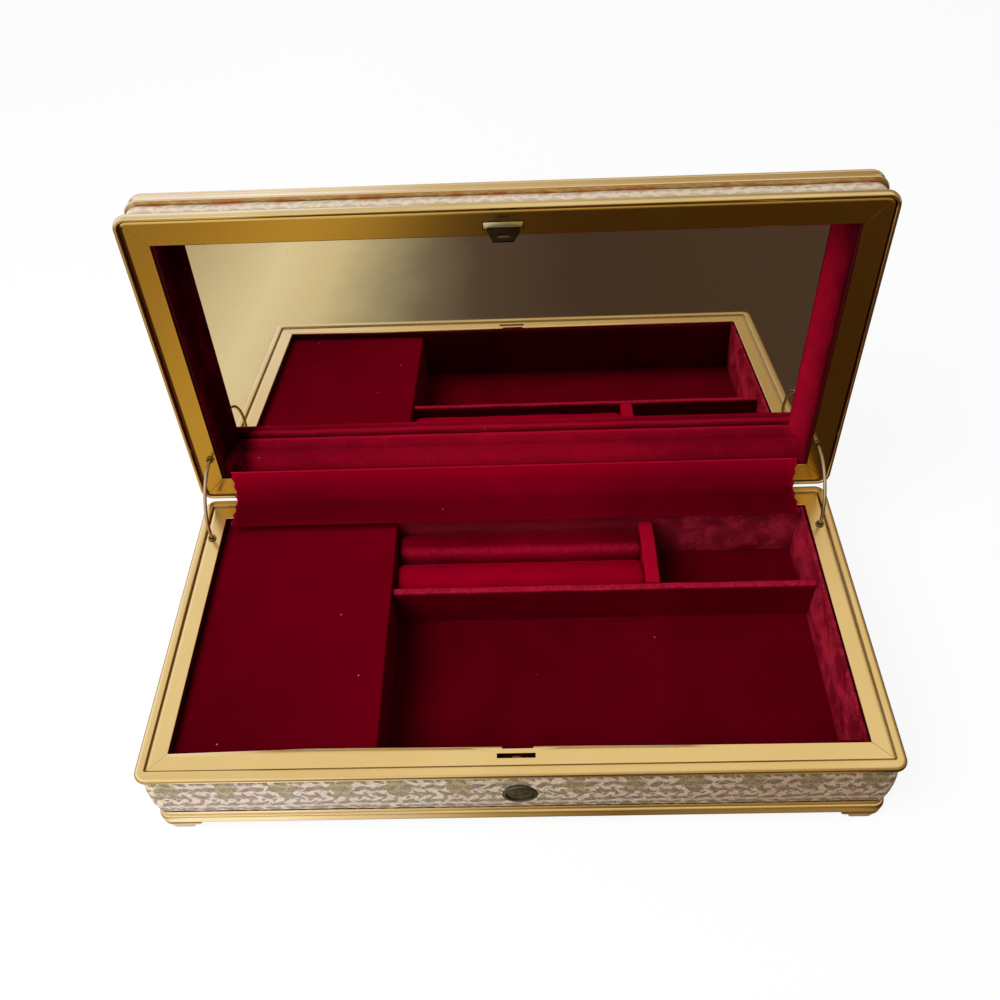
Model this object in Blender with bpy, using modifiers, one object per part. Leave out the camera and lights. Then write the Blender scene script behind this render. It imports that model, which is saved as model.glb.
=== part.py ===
"""Musical jewelry box: gilt rim frames, brocade bands, velvet trays, a mirror lid and a small musical movement.

Metres, +Z up, +X to the right, +Y towards the hinge, feet on z = 0. An offset m is measured outwards from the
edge of the rectangular opening, and a height h upwards from the flange plane of the base (hl: of the lid).
The lid is modelled closed and then turned open about its hinge pin.
"""
import math

import bmesh
import bpy
from mathutils import Matrix, Vector

# Opening, clearances and lid angle
OPENING_W = 0.266
OPENING_D = 0.118
GAP = 0.0003
LID_OPEN_DEG = 95.65

# Base heights
BASE_H = 0.044
FOOT_H = 0.0062
RAIL_H = 0.0094
BOARD_T = 0.003
TRAY_FLOOR_Z = 0.014

# Gilt rim frame, the same section on the base and the lid
FLANGE_W = 0.0069
FLANGE_T = 0.001
GROOVE_W = 0.00022
GROOVE_D = 0.00035
RIM_OUT = 0.0114
BEAD_RISE = 0.00085
BEAD_DROP = 0.0033
SKIRT_T = 0.0007
CLOSED_GAP = 0.0004
INNER_CORNER_R = 0.0004
OUTER_CORNER_R = 0.005

# Carcass walls and brocade bands
WALL_IN = 0.0003
WALL_T = 0.0077
BAND_IN = 0.0083
BAND_TOP_OUT = 0.0092
BAND_FOOT_OUT = 0.0101
BAND_BULGE = 0.00135

# Lower gilt rail
RAIL_FLAT_OUT = 0.0103
RAIL_BEAD_OUT = 0.0115
RAIL_BEAD_H = 0.0058
RAIL_WALL_T = 0.0017
RAIL_LIP_IN = 0.003
RAIL_LIP_T = 0.001

# Corner feet
FOOT_OUT = 0.0113
FOOT_IN = 0.0045
FOOT_WAIST = 0.0018
FOOT_TOP_LEN = 0.0165
FOOT_BOTTOM_LEN = 0.0112

# Lid
LID_CARCASS_H = 0.0184
LID_BAND_H0 = 0.0036
LID_BAND_H1 = 0.0150
LID_BAND_BULGE = 0.0010
TOP_FRAME_OUT = 0.0125
LID_RIM_EXTRA = 0.0007
LID_BAND_EXTRA = 0.0004
TOP_FRAME_LIP_IN = 0.0027
TOP_FRAME_LIP_T = 0.0008
MIRROR_DEPTH = 0.0156
MIRROR_T = 0.0018
CARD_T = 0.0007
LID_BOARD_T = 0.002
PANEL_CROWN = 0.003
LINING_T = 0.0009
LINING_KNEE_H = 0.0065
LINING_SLOPE_IN = 0.0055
LINING_REAR_IN = 0.0108
LINING_REAR_MOUTH_IN = 0.006

# Hinge under the velvet strip
HINGE_LEN = 0.252
KNUCKLE_L = 0.012
KNUCKLE_R = 0.0012
KNUCKLE_BORE_R = 0.00085
HINGE_PIN_R = 0.00075
PIN_HEAD_R = 0.0012
PIN_HEAD_L = 0.0005
LEAF_T = 0.0005
LEAF_DROP = 0.003
STRIP_T = 0.0005
STRIP_OVERHANG = 0.006
STRIP_REAR_OUT = 0.0096

# Lid stays: one arc of wire on each side, centred on the hinge pin
STAY_M = 0.0042
STAY_ARC_R = 0.0232
STAY_WIRE_R = 0.00075
STAY_HEAD_R = 0.00125
STAY_RATIO = 0.65
EYELET_BORE_R = 0.00105
EYELET_TUBE_R = 0.0015
EYELET_HEAD_R = 0.0021
EYELET_HEAD_T = 0.0004
EYELET_TAIL = 0.00025
STAY_SLOT_W = 0.0034

# Tray: linings, platform, dividers and ring rolls
TRAY_LINING_T = 0.0019
PLATFORM_DEPTH = 0.004
PLATFORM_T = 0.0015
PLATFORM_EDGE_X = -0.0535
PARTITION_T = 0.002
BATTEN_W = 0.005
BATTEN_H = 0.006
DIVIDER_DEPTH = 0.006
LONG_DIVIDER_Y = 0.0198
LONG_DIVIDER_T = 0.0032
SHORT_DIVIDER_X = 0.061
SHORT_DIVIDER_T = 0.0062
RING_ROLL_H = 0.0217
RING_SLIT = 0.0006
RING_SLIT_Y = 0.0404
RING_END_GAP = 0.0012

# Latch: push button, plate with a nose, and the lid's catch
BUTTON_X = 0.0011
LATCH_X = 0.0006
CATCH_X = 0.0
BUTTON_DEPTH = 0.0165
BEZEL_R = 0.007
BEZEL_BORE_R = 0.00555
BEZEL_OUT = 0.0113
BUTTON_R = 0.00525
BUTTON_T = 0.0025
BUTTON_OUT = 0.0111
BUTTON_STEM_R = 0.002
BUTTON_TRAVEL = 0.0011
LATCH_PLATE_M = 0.0007
LATCH_PLATE_T = 0.0006
LATCH_PLATE_W = 0.0112
LATCH_PLATE_FOOT = 0.0195
NOSE_W = 0.0032
NOSE_H = 0.0018
NOSE_REACH = 0.0005
NOSE_DEPTH = 0.005
CATCH_M = 0.00265
CATCH_T = 0.0007
CATCH_L = 0.011
CATCH_ROOT_W = 0.0125
CATCH_TIP_W = 0.0078
CATCH_BAR_W = 0.015
CATCH_BAR_D = 0.0026
WINDOW_W = 0.004
WINDOW_H = 0.0028
SLOT_W = 0.0146
SLOT_CLEAR = 0.00065
SPRING_R = 0.0029
SPRING_WIRE_R = 0.0002
SPRING_TURNS = 4

# Musical movement under the platform
BARREL_INSET = 0.023
BARREL_Y = 0.004
BARREL_R = 0.0118
BARREL_H = 0.009
CROWN_TEETH = 40
PINION_TEETH = 12
GEAR_MODULE = 0.0005
CROWN_W = 0.0016
CROWN_TOOTH_T = 0.0005
PINION_W = 0.0012
BEDPLATE_T = 0.0016
BEDPLATE_W = 0.066
BEDPLATE_D = 0.052
BEARING_T = 0.001
BEARING_W = 0.007
ARBOR_R = 0.001
ARBOR_CLEAR = 0.0001
DRUM_R = 0.0065
DRUM_L = 0.029
PIN_COUNT = 36
PIN_R = 0.0003
PIN_H = 0.0005
COMB_TEETH = 18
COMB_T = 0.001
COMB_D = 0.018
COMB_TOOTH_L = 0.0115
COMB_SLIT = 0.0004
WIND_ARBOR_R = 0.002
KEY_HUB_R = 0.0035
KEY_HUB_H = 0.0038
KEY_WING_W = 0.02
KEY_WING_H = 0.0045
KEY_WING_T = 0.0016
KEY_CLEARANCE = 0.001
FAN_R = 0.0055
FAN_H = 0.005
FAN_T = 0.0006
FAN_SHAFT_R = 0.0006
BRAKE_DISC_R = 0.0022
COCK_W = 0.006
COCK_T = 0.0014
COCK_REACH = 0.009
STOP_ARM_L = 0.012
STOP_ARM_W = 0.0014
STOP_ARM_T = 0.001
STOP_BOSS_R = 0.0024
STOP_POST_R = 0.0011
SCREW_R = 0.0012
SCREW_HEAD_R = 0.0025
SCREW_HEAD_H = 0.0012

# Levels and lines that follow from the sizes above
HALF_W = OPENING_W / 2
HALF_D = OPENING_D / 2
BARREL_X = -HALF_W + BARREL_INSET
FLANGE_Z = BASE_H
LID_Z = FLANGE_Z + 2 * BEAD_RISE + CLOSED_GAP
AXIS_Z = FLANGE_Z + BEAD_RISE + CLOSED_GAP / 2
AXIS_Y = HALF_D + RIM_OUT
WALL_OUT = WALL_IN + WALL_T
BEAD_R = (BEAD_RISE + BEAD_DROP) / 2
BOARD_Z = FOOT_H + RAIL_LIP_T + GAP
BOARD_TOP_Z = BOARD_Z + BOARD_T
CARCASS_Z = BOARD_TOP_Z + GAP
CARCASS_TOP_Z = FLANGE_Z - FLANGE_T - GAP
TRAY_TOP_Z = CARCASS_TOP_Z
HINGE_FACE_M = RIM_OUT - KNUCKLE_R - GAP
CARD_H = MIRROR_DEPTH + MIRROR_T + GAP
LID_BOARD_H = LID_CARCASS_H + GAP
PANEL_H = LID_BOARD_H + LID_BOARD_T + GAP
TOP_FRAME_H = PANEL_H + TOP_FRAME_LIP_T
BUTTON_Z = FLANGE_Z - BUTTON_DEPTH
PLATFORM_TOP_Z = FLANGE_Z - PLATFORM_DEPTH
PLATFORM_Z = PLATFORM_TOP_Z - PLATFORM_T
DIVIDER_TOP_Z = FLANGE_Z - DIVIDER_DEPTH
PARTITION_X = PLATFORM_EDGE_X - TRAY_LINING_T - GAP
TRAY_LEFT_X = PARTITION_X + GAP
TRAY_IN_X0 = TRAY_LEFT_X + TRAY_LINING_T
TRAY_IN_X1 = HALF_W - TRAY_LINING_T
TRAY_IN_Y0 = -HALF_D + TRAY_LINING_T
TRAY_IN_Y1 = HALF_D - TRAY_LINING_T
BED_Z = BOARD_TOP_Z + GAP
BED_TOP_Z = BED_Z + BEDPLATE_T
BARREL_Z = BED_TOP_Z + GAP
BARREL_TOP_Z = BARREL_Z + BARREL_H
CROWN_R = GEAR_MODULE * CROWN_TEETH / 2
PINION_R = GEAR_MODULE * PINION_TEETH / 2
ADDENDUM = 0.8 * GEAR_MODULE
DEDENDUM = 1.3 * GEAR_MODULE
PITCH_Z = BARREL_TOP_Z + DEDENDUM
DRUM_Z = PITCH_Z + PINION_R
DRUM_Y = BARREL_Y
DRUM_X = BARREL_X + BARREL_R + BEARING_T + 3 * GAP
FAN_X = DRUM_X + 0.7 * DRUM_L
FAN_Y = DRUM_Y + DRUM_R + FAN_R + 0.004

# Smoothness of round work
CORNER_STEPS = 4
ROUND_STEPS = 24
SMALL_STEPS = 12

# Finishes: colour, roughness, metallic
GILT = ((0.80, 0.60, 0.28), 0.30, 1.0)
BRASS = ((0.62, 0.48, 0.22), 0.35, 1.0)
DARK_BRASS = ((0.22, 0.17, 0.10), 0.45, 1.0)
STEEL = ((0.60, 0.60, 0.60), 0.30, 1.0)
VELVET = ((0.22, 0.005, 0.02), 0.95, 0.0)
BROCADE = ((0.68, 0.60, 0.52), 0.70, 0.0)
WOOD = ((0.45, 0.32, 0.20), 0.75, 0.0)
CARD = ((0.35, 0.30, 0.24), 0.90, 0.0)
SILVER_GLASS = ((0.90, 0.90, 0.90), 0.03, 1.0)


# Scene, materials and bodies

def clear_scene():
    """Remove every object, so that the model is the only thing in the file."""
    for obj in list(bpy.data.objects):
        bpy.data.objects.remove(obj, do_unlink=True)


def make_collection(name):
    """Make a collection under the scene's own."""
    collection = bpy.data.collections.new(name)
    bpy.context.scene.collection.children.link(collection)
    return collection


def empty_at(name, location, parent=None):
    """An empty that carries one moving body, placed on the body's axis."""
    empty = bpy.data.objects.new(name, None)
    empty.location = Vector(location) - (parent.location if parent else Vector())
    empty.parent = parent
    PARTS.objects.link(empty)
    bpy.context.view_layer.update()
    return empty


def ride(obj, body):
    """Parent an object to a body's empty and leave it where it is."""
    obj.parent = body
    obj.matrix_parent_inverse = body.matrix_world.inverted()


def paint(obj, finish):
    """Give an object its own material in one of the finishes."""
    colour, roughness, metallic = finish
    material = bpy.data.materials.new(obj.name + "_finish")
    material.use_nodes = True
    shader = material.node_tree.nodes["Principled BSDF"]
    shader.inputs["Base Color"].default_value = (*colour, 1.0)
    shader.inputs["Roughness"].default_value = roughness
    shader.inputs["Metallic"].default_value = metallic
    obj.data.materials.clear()
    obj.data.materials.append(material)


def settle(obj, body, finish):
    """Put a finished piece in the model's collection, on its body, in its finish."""
    for collection in list(obj.users_collection):
        collection.objects.unlink(obj)
    PARTS.objects.link(obj)
    ride(obj, body)
    paint(obj, finish)
    return obj


def as_cutter(obj, body):
    """Turn an object into a hidden tool that moves with the body it cuts."""
    for collection in list(obj.users_collection):
        collection.objects.unlink(obj)
    CUTTERS.objects.link(obj)
    ride(obj, body)
    obj.hide_render = True
    obj.display_type = "WIRE"
    return obj


def boolean(obj, tool, operation):
    """Cut an object by a tool, or join the tool to it."""
    modifier = obj.modifiers.new(operation.lower() + "_" + tool.name, "BOOLEAN")
    modifier.operation = operation
    modifier.object = tool
    modifier.solver = "EXACT"


# Shapes

def mesh_object(name, bm):
    """Finish a bmesh as a linked object with its faces outwards."""
    bmesh.ops.recalc_face_normals(bm, faces=bm.faces)
    mesh = bpy.data.meshes.new(name)
    bm.to_mesh(mesh)
    bm.free()
    obj = bpy.data.objects.new(name, mesh)
    bpy.context.scene.collection.objects.link(obj)
    return obj


def shade_round(obj, degrees=35):
    """Shade a mesh smooth, with its real edges kept sharp."""
    obj.data.shade_smooth()
    obj.data.set_sharp_from_angle(angle=math.radians(degrees))


def cuboid(name, low, high, bevel=0.0):
    """A box between two corners, with an optional rounded edge."""
    centre = [(a + b) / 2 for a, b in zip(low, high)]
    bm = bmesh.new()
    bmesh.ops.create_cube(bm, size=1.0)
    bmesh.ops.scale(bm, vec=[b - a for a, b in zip(low, high)], verts=bm.verts)
    obj = mesh_object(name, bm)
    obj.location = centre
    bpy.context.view_layer.update()
    if bevel:
        modifier = obj.modifiers.new("rounded_edges", "BEVEL")
        modifier.width = bevel
        modifier.segments = 2
    return obj


def rod(name, radius, start, end, steps=ROUND_STEPS):
    """A straight round bar between two points."""
    start = Vector(start)
    end = Vector(end)
    bm = bmesh.new()
    bmesh.ops.create_cone(bm, cap_ends=True, segments=steps, radius1=radius, radius2=radius,
                          depth=(end - start).length)
    obj = mesh_object(name, bm)
    obj.rotation_mode = "QUATERNION"
    obj.rotation_quaternion = Vector((0, 0, 1)).rotation_difference(end - start)
    obj.location = (start + end) / 2
    bpy.context.view_layer.update()
    shade_round(obj)
    return obj


def turned(name, outline, origin, axis, steps=ROUND_STEPS):
    """A turned piece: an outline of (radius, height) pairs, top to bottom, spun about an axis."""
    bm = bmesh.new()
    vertices = [bm.verts.new((radius, 0, height)) for radius, height in outline]
    for first, second in zip(vertices, vertices[1:]):
        bm.edges.new((first, second))
    if outline[0][0] > 0 and outline[-1][0] > 0:
        bm.edges.new((vertices[-1], vertices[0]))
    mesh = bpy.data.meshes.new(name)
    bm.to_mesh(mesh)
    bm.free()
    obj = bpy.data.objects.new(name, mesh)
    bpy.context.scene.collection.objects.link(obj)
    screw = obj.modifiers.new("turning", "SCREW")
    screw.steps = steps
    screw.render_steps = steps
    screw.use_merge_vertices = True
    screw.merge_threshold = 0.00001
    obj.rotation_mode = "QUATERNION"
    obj.rotation_quaternion = Vector((0, 0, 1)).rotation_difference(Vector(axis))
    obj.location = origin
    bpy.context.view_layer.update()
    return obj


def to_mesh(obj):
    """Replace an object that has a curve or modifiers by the mesh that it shows."""
    bpy.context.view_layer.update()
    evaluated = obj.evaluated_get(bpy.context.evaluated_depsgraph_get())
    bm = bmesh.new()
    mesh = bpy.data.meshes.new_from_object(evaluated)
    bm.from_mesh(mesh)
    bmesh.ops.remove_doubles(bm, verts=bm.verts, dist=0.000001)
    solid = mesh_object(obj.name, bm)
    name = obj.name
    solid.matrix_world = obj.matrix_world.copy()
    bpy.data.objects.remove(obj, do_unlink=True)
    solid.name = name
    bpy.context.view_layer.update()
    return solid


def plate(name, outlines, thickness, origin, right, up):
    """A flat plate: closed outlines in a plane through origin, extruded both ways by half its thickness.

    An outline inside another is a hole. right and up are the plane's own directions.
    """
    curve = bpy.data.curves.new(name, "CURVE")
    curve.dimensions = "2D"
    curve.fill_mode = "BOTH"
    curve.extrude = thickness / 2
    for outline in outlines:
        spline = curve.splines.new("POLY")
        spline.points.add(len(outline) - 1)
        for point, (across, along) in zip(spline.points, outline):
            point.co = (across, along, 0, 1)
        spline.use_cyclic_u = True
    obj = bpy.data.objects.new(name, curve)
    bpy.context.scene.collection.objects.link(obj)
    right = Vector(right)
    up = Vector(up)
    normal = right.cross(up)
    turn = Matrix((right, up, normal)).transposed().to_4x4()
    obj.matrix_world = Matrix.Translation(origin) @ turn
    return to_mesh(obj)


def wire(name, points, radius, rounding=2):
    """A round wire through points, with closed ends."""
    curve = bpy.data.curves.new(name, "CURVE")
    curve.dimensions = "3D"
    curve.bevel_depth = radius
    curve.bevel_resolution = rounding
    curve.use_fill_caps = True
    spline = curve.splines.new("POLY")
    spline.points.add(len(points) - 1)
    for point, co in zip(spline.points, points):
        point.co = (*co, 1)
    obj = bpy.data.objects.new(name, curve)
    bpy.context.scene.collection.objects.link(obj)
    return to_mesh(obj)


def ball(name, radius, centre):
    """A small ball."""
    bm = bmesh.new()
    bmesh.ops.create_uvsphere(bm, u_segments=SMALL_STEPS, v_segments=8, radius=radius)
    obj = mesh_object(name, bm)
    obj.location = centre
    bpy.context.view_layer.update()
    return obj


def circle(centre_a, centre_b, radius, steps, start=0.0, sweep=2 * math.pi, closed=True):
    """Points on a circle or an arc in a plane."""
    count = steps if closed else steps + 1
    return [(centre_a + radius * math.cos(start + sweep * i / steps),
             centre_b + radius * math.sin(start + sweep * i / steps)) for i in range(count)]


def oval_arc(centre_a, centre_b, radius_a, radius_b, start_deg, end_deg, steps):
    """Points on part of an ellipse, both ends included."""
    points = []
    for i in range(steps + 1):
        angle = math.radians(start_deg + (end_deg - start_deg) * i / steps)
        points.append((centre_a + radius_a * math.cos(angle), centre_b + radius_b * math.sin(angle)))
    return points


def rounded_loop(x0, x1, y0, y1, radius):
    """A rectangle with rounded corners, counter-clockwise from its front right corner."""
    corners = ((x1 - radius, y0 + radius, -90), (x1 - radius, y1 - radius, 0),
               (x0 + radius, y1 - radius, 90), (x0 + radius, y0 + radius, 180))
    points = []
    for centre_x, centre_y, start in corners:
        points += oval_arc(centre_x, centre_y, radius, radius, start, start + 90, CORNER_STEPS)
    return points


def corner_radius(m):
    """Corner radius at an offset: a near-square opening that grows into the round outer corner."""
    return max(INNER_CORNER_R, OUTER_CORNER_R - RIM_OUT + m)


def offset_loop(m):
    """The opening's outline, moved outwards by m on every side."""
    return rounded_loop(-HALF_W - m, HALF_W + m, -HALF_D - m, HALF_D + m, corner_radius(m))


def skin(bm, loops, close_ends):
    """Join loops of equal length into a surface: a closed tube round the box, or a capped stack."""
    rows = [[bm.verts.new(point) for point in loop] for loop in loops]
    count = len(rows[0])
    pairs = list(zip(rows, rows[1:]))
    if not close_ends:
        pairs.append((rows[-1], rows[0]))
    for low, high in pairs:
        for i in range(count):
            j = (i + 1) % count
            bm.faces.new((low[i], low[j], high[j], high[i]))
    if close_ends:
        bm.faces.new(rows[0])
        bm.faces.new(rows[-1])


def frame_ring(name, section, base_z=0.0):
    """A mitred frame: a closed section of (offset, height) pairs carried round the opening."""
    bm = bmesh.new()
    skin(bm, [[(x, y, base_z + height) for x, y in offset_loop(m)] for m, height in section], False)
    obj = mesh_object(name, bm)
    shade_round(obj)
    return obj


def stack(name, levels):
    """A solid with a flat top and bottom, from (x0, x1, y0, y1, radius, z) levels."""
    bm = bmesh.new()
    skin(bm, [[(x, y, z) for x, y in rounded_loop(x0, x1, y0, y1, radius)]
              for x0, x1, y0, y1, radius, z in levels], True)
    obj = mesh_object(name, bm)
    shade_round(obj)
    return obj


def board_piece(name, z0, z1):
    """A board with rounded corners that ends flush with the carcass."""
    radius = corner_radius(WALL_OUT)
    return stack(name, [(-HALF_W - WALL_OUT, HALF_W + WALL_OUT, -HALF_D - WALL_OUT, HALF_D + WALL_OUT, radius, z)
                        for z in (z0, z1)])


# Sections of the frames and bands

def rim_section(up, extra=0.0):
    """Gilt rim: a flat flange, a fine groove and a half-round bead.

    up is 1 on the base and -1 on the lid; extra widens the flange.
    """
    groove = FLANGE_W + extra
    bead = RIM_OUT + extra - BEAD_R
    section = [(0, -FLANGE_T), (0, 0), (groove - GROOVE_W, 0), (groove, -GROOVE_D),
               (groove + GROOVE_W, BEAD_RISE * 0.6), (groove + 3 * GROOVE_W, BEAD_RISE)]
    section += oval_arc(bead, BEAD_RISE - BEAD_R, BEAD_R, BEAD_R, 90, -90, 8)
    section += [(bead - SKIRT_T, -BEAD_DROP), (bead - SKIRT_T, -FLANGE_T)]
    return [(m, up * height) for m, height in section]


def band_section(z0, z1, out0, out1, bulge, steps=7):
    """Padded band: flat behind, and a bulge in front that leans from out0 at z0 to out1 at z1."""
    section = [(BAND_IN, z1), (BAND_IN, z0)]
    for i in range(steps + 1):
        t = i / steps
        section.append((out0 + (out1 - out0) * t + bulge * math.sin(math.pi * t), z0 + (z1 - z0) * t))
    return section


def rail_section():
    """Lower rail: an upright flat, a half-round bead and a lip that carries the floor board."""
    top = FOOT_H + RAIL_H
    middle = FOOT_H + RAIL_BEAD_H / 2
    inner = RAIL_FLAT_OUT - RAIL_WALL_T
    section = [(RAIL_LIP_IN, FOOT_H + RAIL_LIP_T), (inner, FOOT_H + RAIL_LIP_T), (inner, top),
               (RAIL_FLAT_OUT, top)]
    section += oval_arc(RAIL_FLAT_OUT, middle, RAIL_BEAD_OUT - RAIL_FLAT_OUT, RAIL_BEAD_H / 2, 90, -90, 6)
    return section + [(RAIL_LIP_IN, FOOT_H)]


def top_frame_section():
    """Lid's outer frame: a bead at the side that coves in to a thin lip over the brocade panel."""
    foot = LID_BAND_H1 + GAP
    inner = WALL_OUT + GAP
    lip_under = TOP_FRAME_H - TOP_FRAME_LIP_T
    cove = TOP_FRAME_H - foot
    section = [(inner, foot), (TOP_FRAME_OUT - 0.0009, foot)]
    section += [(TOP_FRAME_OUT, foot + 0.16 * cove), (TOP_FRAME_OUT, foot + 0.38 * cove)]
    section += oval_arc(TOP_FRAME_OUT - 0.0042, foot + 0.38 * cove, 0.0042, 0.62 * cove, 22, 90, 4)
    section += [(TOP_FRAME_LIP_IN, TOP_FRAME_H), (TOP_FRAME_LIP_IN, lip_under), (inner, lip_under)]
    return section


# Base

def make_base_shell(body):
    """Carcass, floor board, rim frame, rail and brocade band of the base."""
    carcass = frame_ring("base_carcass", [(WALL_IN, CARCASS_Z), (WALL_IN, CARCASS_TOP_Z),
                                          (WALL_OUT, CARCASS_TOP_Z), (WALL_OUT, CARCASS_Z)])
    boolean(carcass, latch_mortise(body), "DIFFERENCE")
    boolean(carcass, button_pocket(body), "DIFFERENCE")
    for side in SIDES:
        boolean(carcass, stay_slot_base(side, body), "DIFFERENCE")
    settle(carcass, body, WOOD)

    board = board_piece("base_floor_board", BOARD_Z, BOARD_TOP_Z)
    hole = as_cutter(rod("board_arbor_hole", WIND_ARBOR_R + 2 * GAP, (BARREL_X, BARREL_Y, BOARD_Z - GAP),
                         (BARREL_X, BARREL_Y, BOARD_TOP_Z + GAP)), body)
    boolean(board, hole, "DIFFERENCE")
    for index, (x, y) in enumerate(SCREW_PLACES):
        hole = rod(f"board_screw_hole_{index}", SCREW_R + GAP, (x, y, BOARD_Z - GAP), (x, y, BOARD_TOP_Z + GAP),
                   SMALL_STEPS)
        boolean(board, as_cutter(hole, body), "DIFFERENCE")
    settle(board, body, WOOD)

    rim = frame_ring("base_rim_frame", rim_section(1), FLANGE_Z)
    boolean(rim, catch_slot(body), "DIFFERENCE")
    boolean(rim, latch_notch(body), "DIFFERENCE")
    boolean(rim, hinge_rebate("base_hinge_rebate", 1, FLANGE_Z, body), "DIFFERENCE")
    for side in SIDES:
        boolean(rim, eyelet_hole(side, 1, FLANGE_Z, body), "DIFFERENCE")
    settle(rim, body, GILT)

    settle(frame_ring("base_rail_frame", rail_section()), body, GILT)

    band = frame_ring("base_brocade_band", band_section(FOOT_H + RAIL_H + GAP, FLANGE_Z - BEAD_DROP - GAP,
                                                        BAND_FOOT_OUT, BAND_TOP_OUT, BAND_BULGE))
    hole = rod("bezel_hole", BEZEL_R + GAP, (BUTTON_X, -HALF_D - RIM_OUT - GAP, BUTTON_Z),
               (BUTTON_X, -HALF_D - WALL_OUT + GAP, BUTTON_Z))
    boolean(band, as_cutter(hole, body), "DIFFERENCE")
    settle(band, body, BROCADE)


def foot_profile(z_share):
    """Outer offset of a foot at a share of its height: a stepped cavetto under the rail."""
    waist = FOOT_OUT - FOOT_WAIST
    steps = ((0.0, waist + 0.0006), (0.14, waist + 0.0006), (0.20, waist), (0.36, waist), (0.42, waist + 0.0005),
             (0.56, waist + 0.0007), (0.62, waist + 0.0011), (0.84, FOOT_OUT - 0.0002), (0.88, FOOT_OUT),
             (1.0, FOOT_OUT))
    for (share0, out0), (share1, out1) in zip(steps, steps[1:]):
        if z_share <= share1:
            return out0 + (out1 - out0) * (z_share - share0) / (share1 - share0)
    return FOOT_OUT


FOOT_SHARES = (0.0, 0.14, 0.20, 0.36, 0.42, 0.56, 0.62, 0.84, 0.88, 1.0)


def make_foot(name, side_x, side_y, body):
    """A corner foot: the stepped section carried round the corner, with ends that draw in downwards."""
    height = FOOT_H - GAP
    section = [(foot_profile(share), share) for share in FOOT_SHARES]
    section += [(FOOT_IN, 1.0), (FOOT_IN, 0.0)]
    bm = bmesh.new()
    rings = []
    for station in range(CORNER_STEPS + 3):
        ring = []
        for m, share in section:
            radius = corner_radius(m)
            length = FOOT_BOTTOM_LEN + (FOOT_TOP_LEN - FOOT_BOTTOM_LEN) * share ** 0.6
            centre_x = HALF_W + m - radius
            centre_y = HALF_D + m - radius
            if station == 0:
                x, y = HALF_W + FOOT_OUT - length, HALF_D + m
            elif station == CORNER_STEPS + 2:
                x, y = HALF_W + m, HALF_D + FOOT_OUT - length
            else:
                angle = math.radians(90 - 90 * (station - 1) / CORNER_STEPS)
                x, y = centre_x + radius * math.cos(angle), centre_y + radius * math.sin(angle)
            ring.append(bm.verts.new((side_x * x, side_y * y, share * height)))
        rings.append(ring)
    for first, second in zip(rings, rings[1:]):
        for i in range(len(section)):
            j = (i + 1) % len(section)
            bm.faces.new((first[i], first[j], second[j], second[i]))
    bm.faces.new(rings[0])
    bm.faces.new(rings[-1])
    obj = mesh_object(name, bm)
    shade_round(obj, 25)
    settle(obj, body, GILT)


def make_feet(body):
    """Four corner feet."""
    for end, side_y in (("front", -1), ("rear", 1)):
        for side, side_x in (("left", -1), ("right", 1)):
            make_foot(f"foot_{end}_{side}", side_x, side_y, body)


# Latch

def latch_mortise(body):
    """The pocket in the front wall for the catch, the latch plate and its spring."""
    low = (CATCH_X - SLOT_W / 2 - GAP, -HALF_D - CATCH_M - CATCH_T - 2 * SLOT_CLEAR,
           FLANGE_Z - LATCH_PLATE_FOOT - 2 * GAP)
    high = (CATCH_X + SLOT_W / 2 + GAP, -HALF_D + GAP, FLANGE_Z)
    return as_cutter(cuboid("latch_mortise", low, high), body)


def button_pocket(body):
    """A stepped round pocket for the button and its stem."""
    outline = [(0, 0.001), (BEZEL_BORE_R + GAP, 0.001),
               (BEZEL_BORE_R + GAP, -(WALL_OUT - BUTTON_OUT + BUTTON_T + BUTTON_TRAVEL + 2 * GAP)),
               (BUTTON_STEM_R + GAP, -(WALL_OUT - BUTTON_OUT + BUTTON_T + BUTTON_TRAVEL + 2 * GAP)),
               (BUTTON_STEM_R + GAP, -(WALL_OUT - CATCH_M)), (0, -(WALL_OUT - CATCH_M))]
    obj = turned("button_pocket", outline, (BUTTON_X, -HALF_D - WALL_OUT, BUTTON_Z), (0, -1, 0))
    return as_cutter(to_mesh(obj), body)


def catch_slot(body):
    """The slot in the front flange that takes the lid's catch."""
    low = (CATCH_X - SLOT_W / 2, -HALF_D - CATCH_M - CATCH_T - SLOT_CLEAR, FLANGE_Z - 2 * FLANGE_T)
    high = (CATCH_X + SLOT_W / 2, -HALF_D - CATCH_M + SLOT_CLEAR, FLANGE_Z + FLANGE_T)
    return as_cutter(cuboid("catch_slot", low, high), body)


def latch_notch(body):
    """The notch in the flange's inner edge where the latch plate's top shows."""
    low = (LATCH_X - LATCH_PLATE_W / 2 - GAP, -HALF_D - LATCH_PLATE_M - LATCH_PLATE_T - GAP,
           FLANGE_Z - 2 * FLANGE_T)
    high = (LATCH_X + LATCH_PLATE_W / 2 + GAP, -HALF_D + FLANGE_T, FLANGE_Z + FLANGE_T)
    return as_cutter(cuboid("latch_notch", low, high), body)


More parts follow.
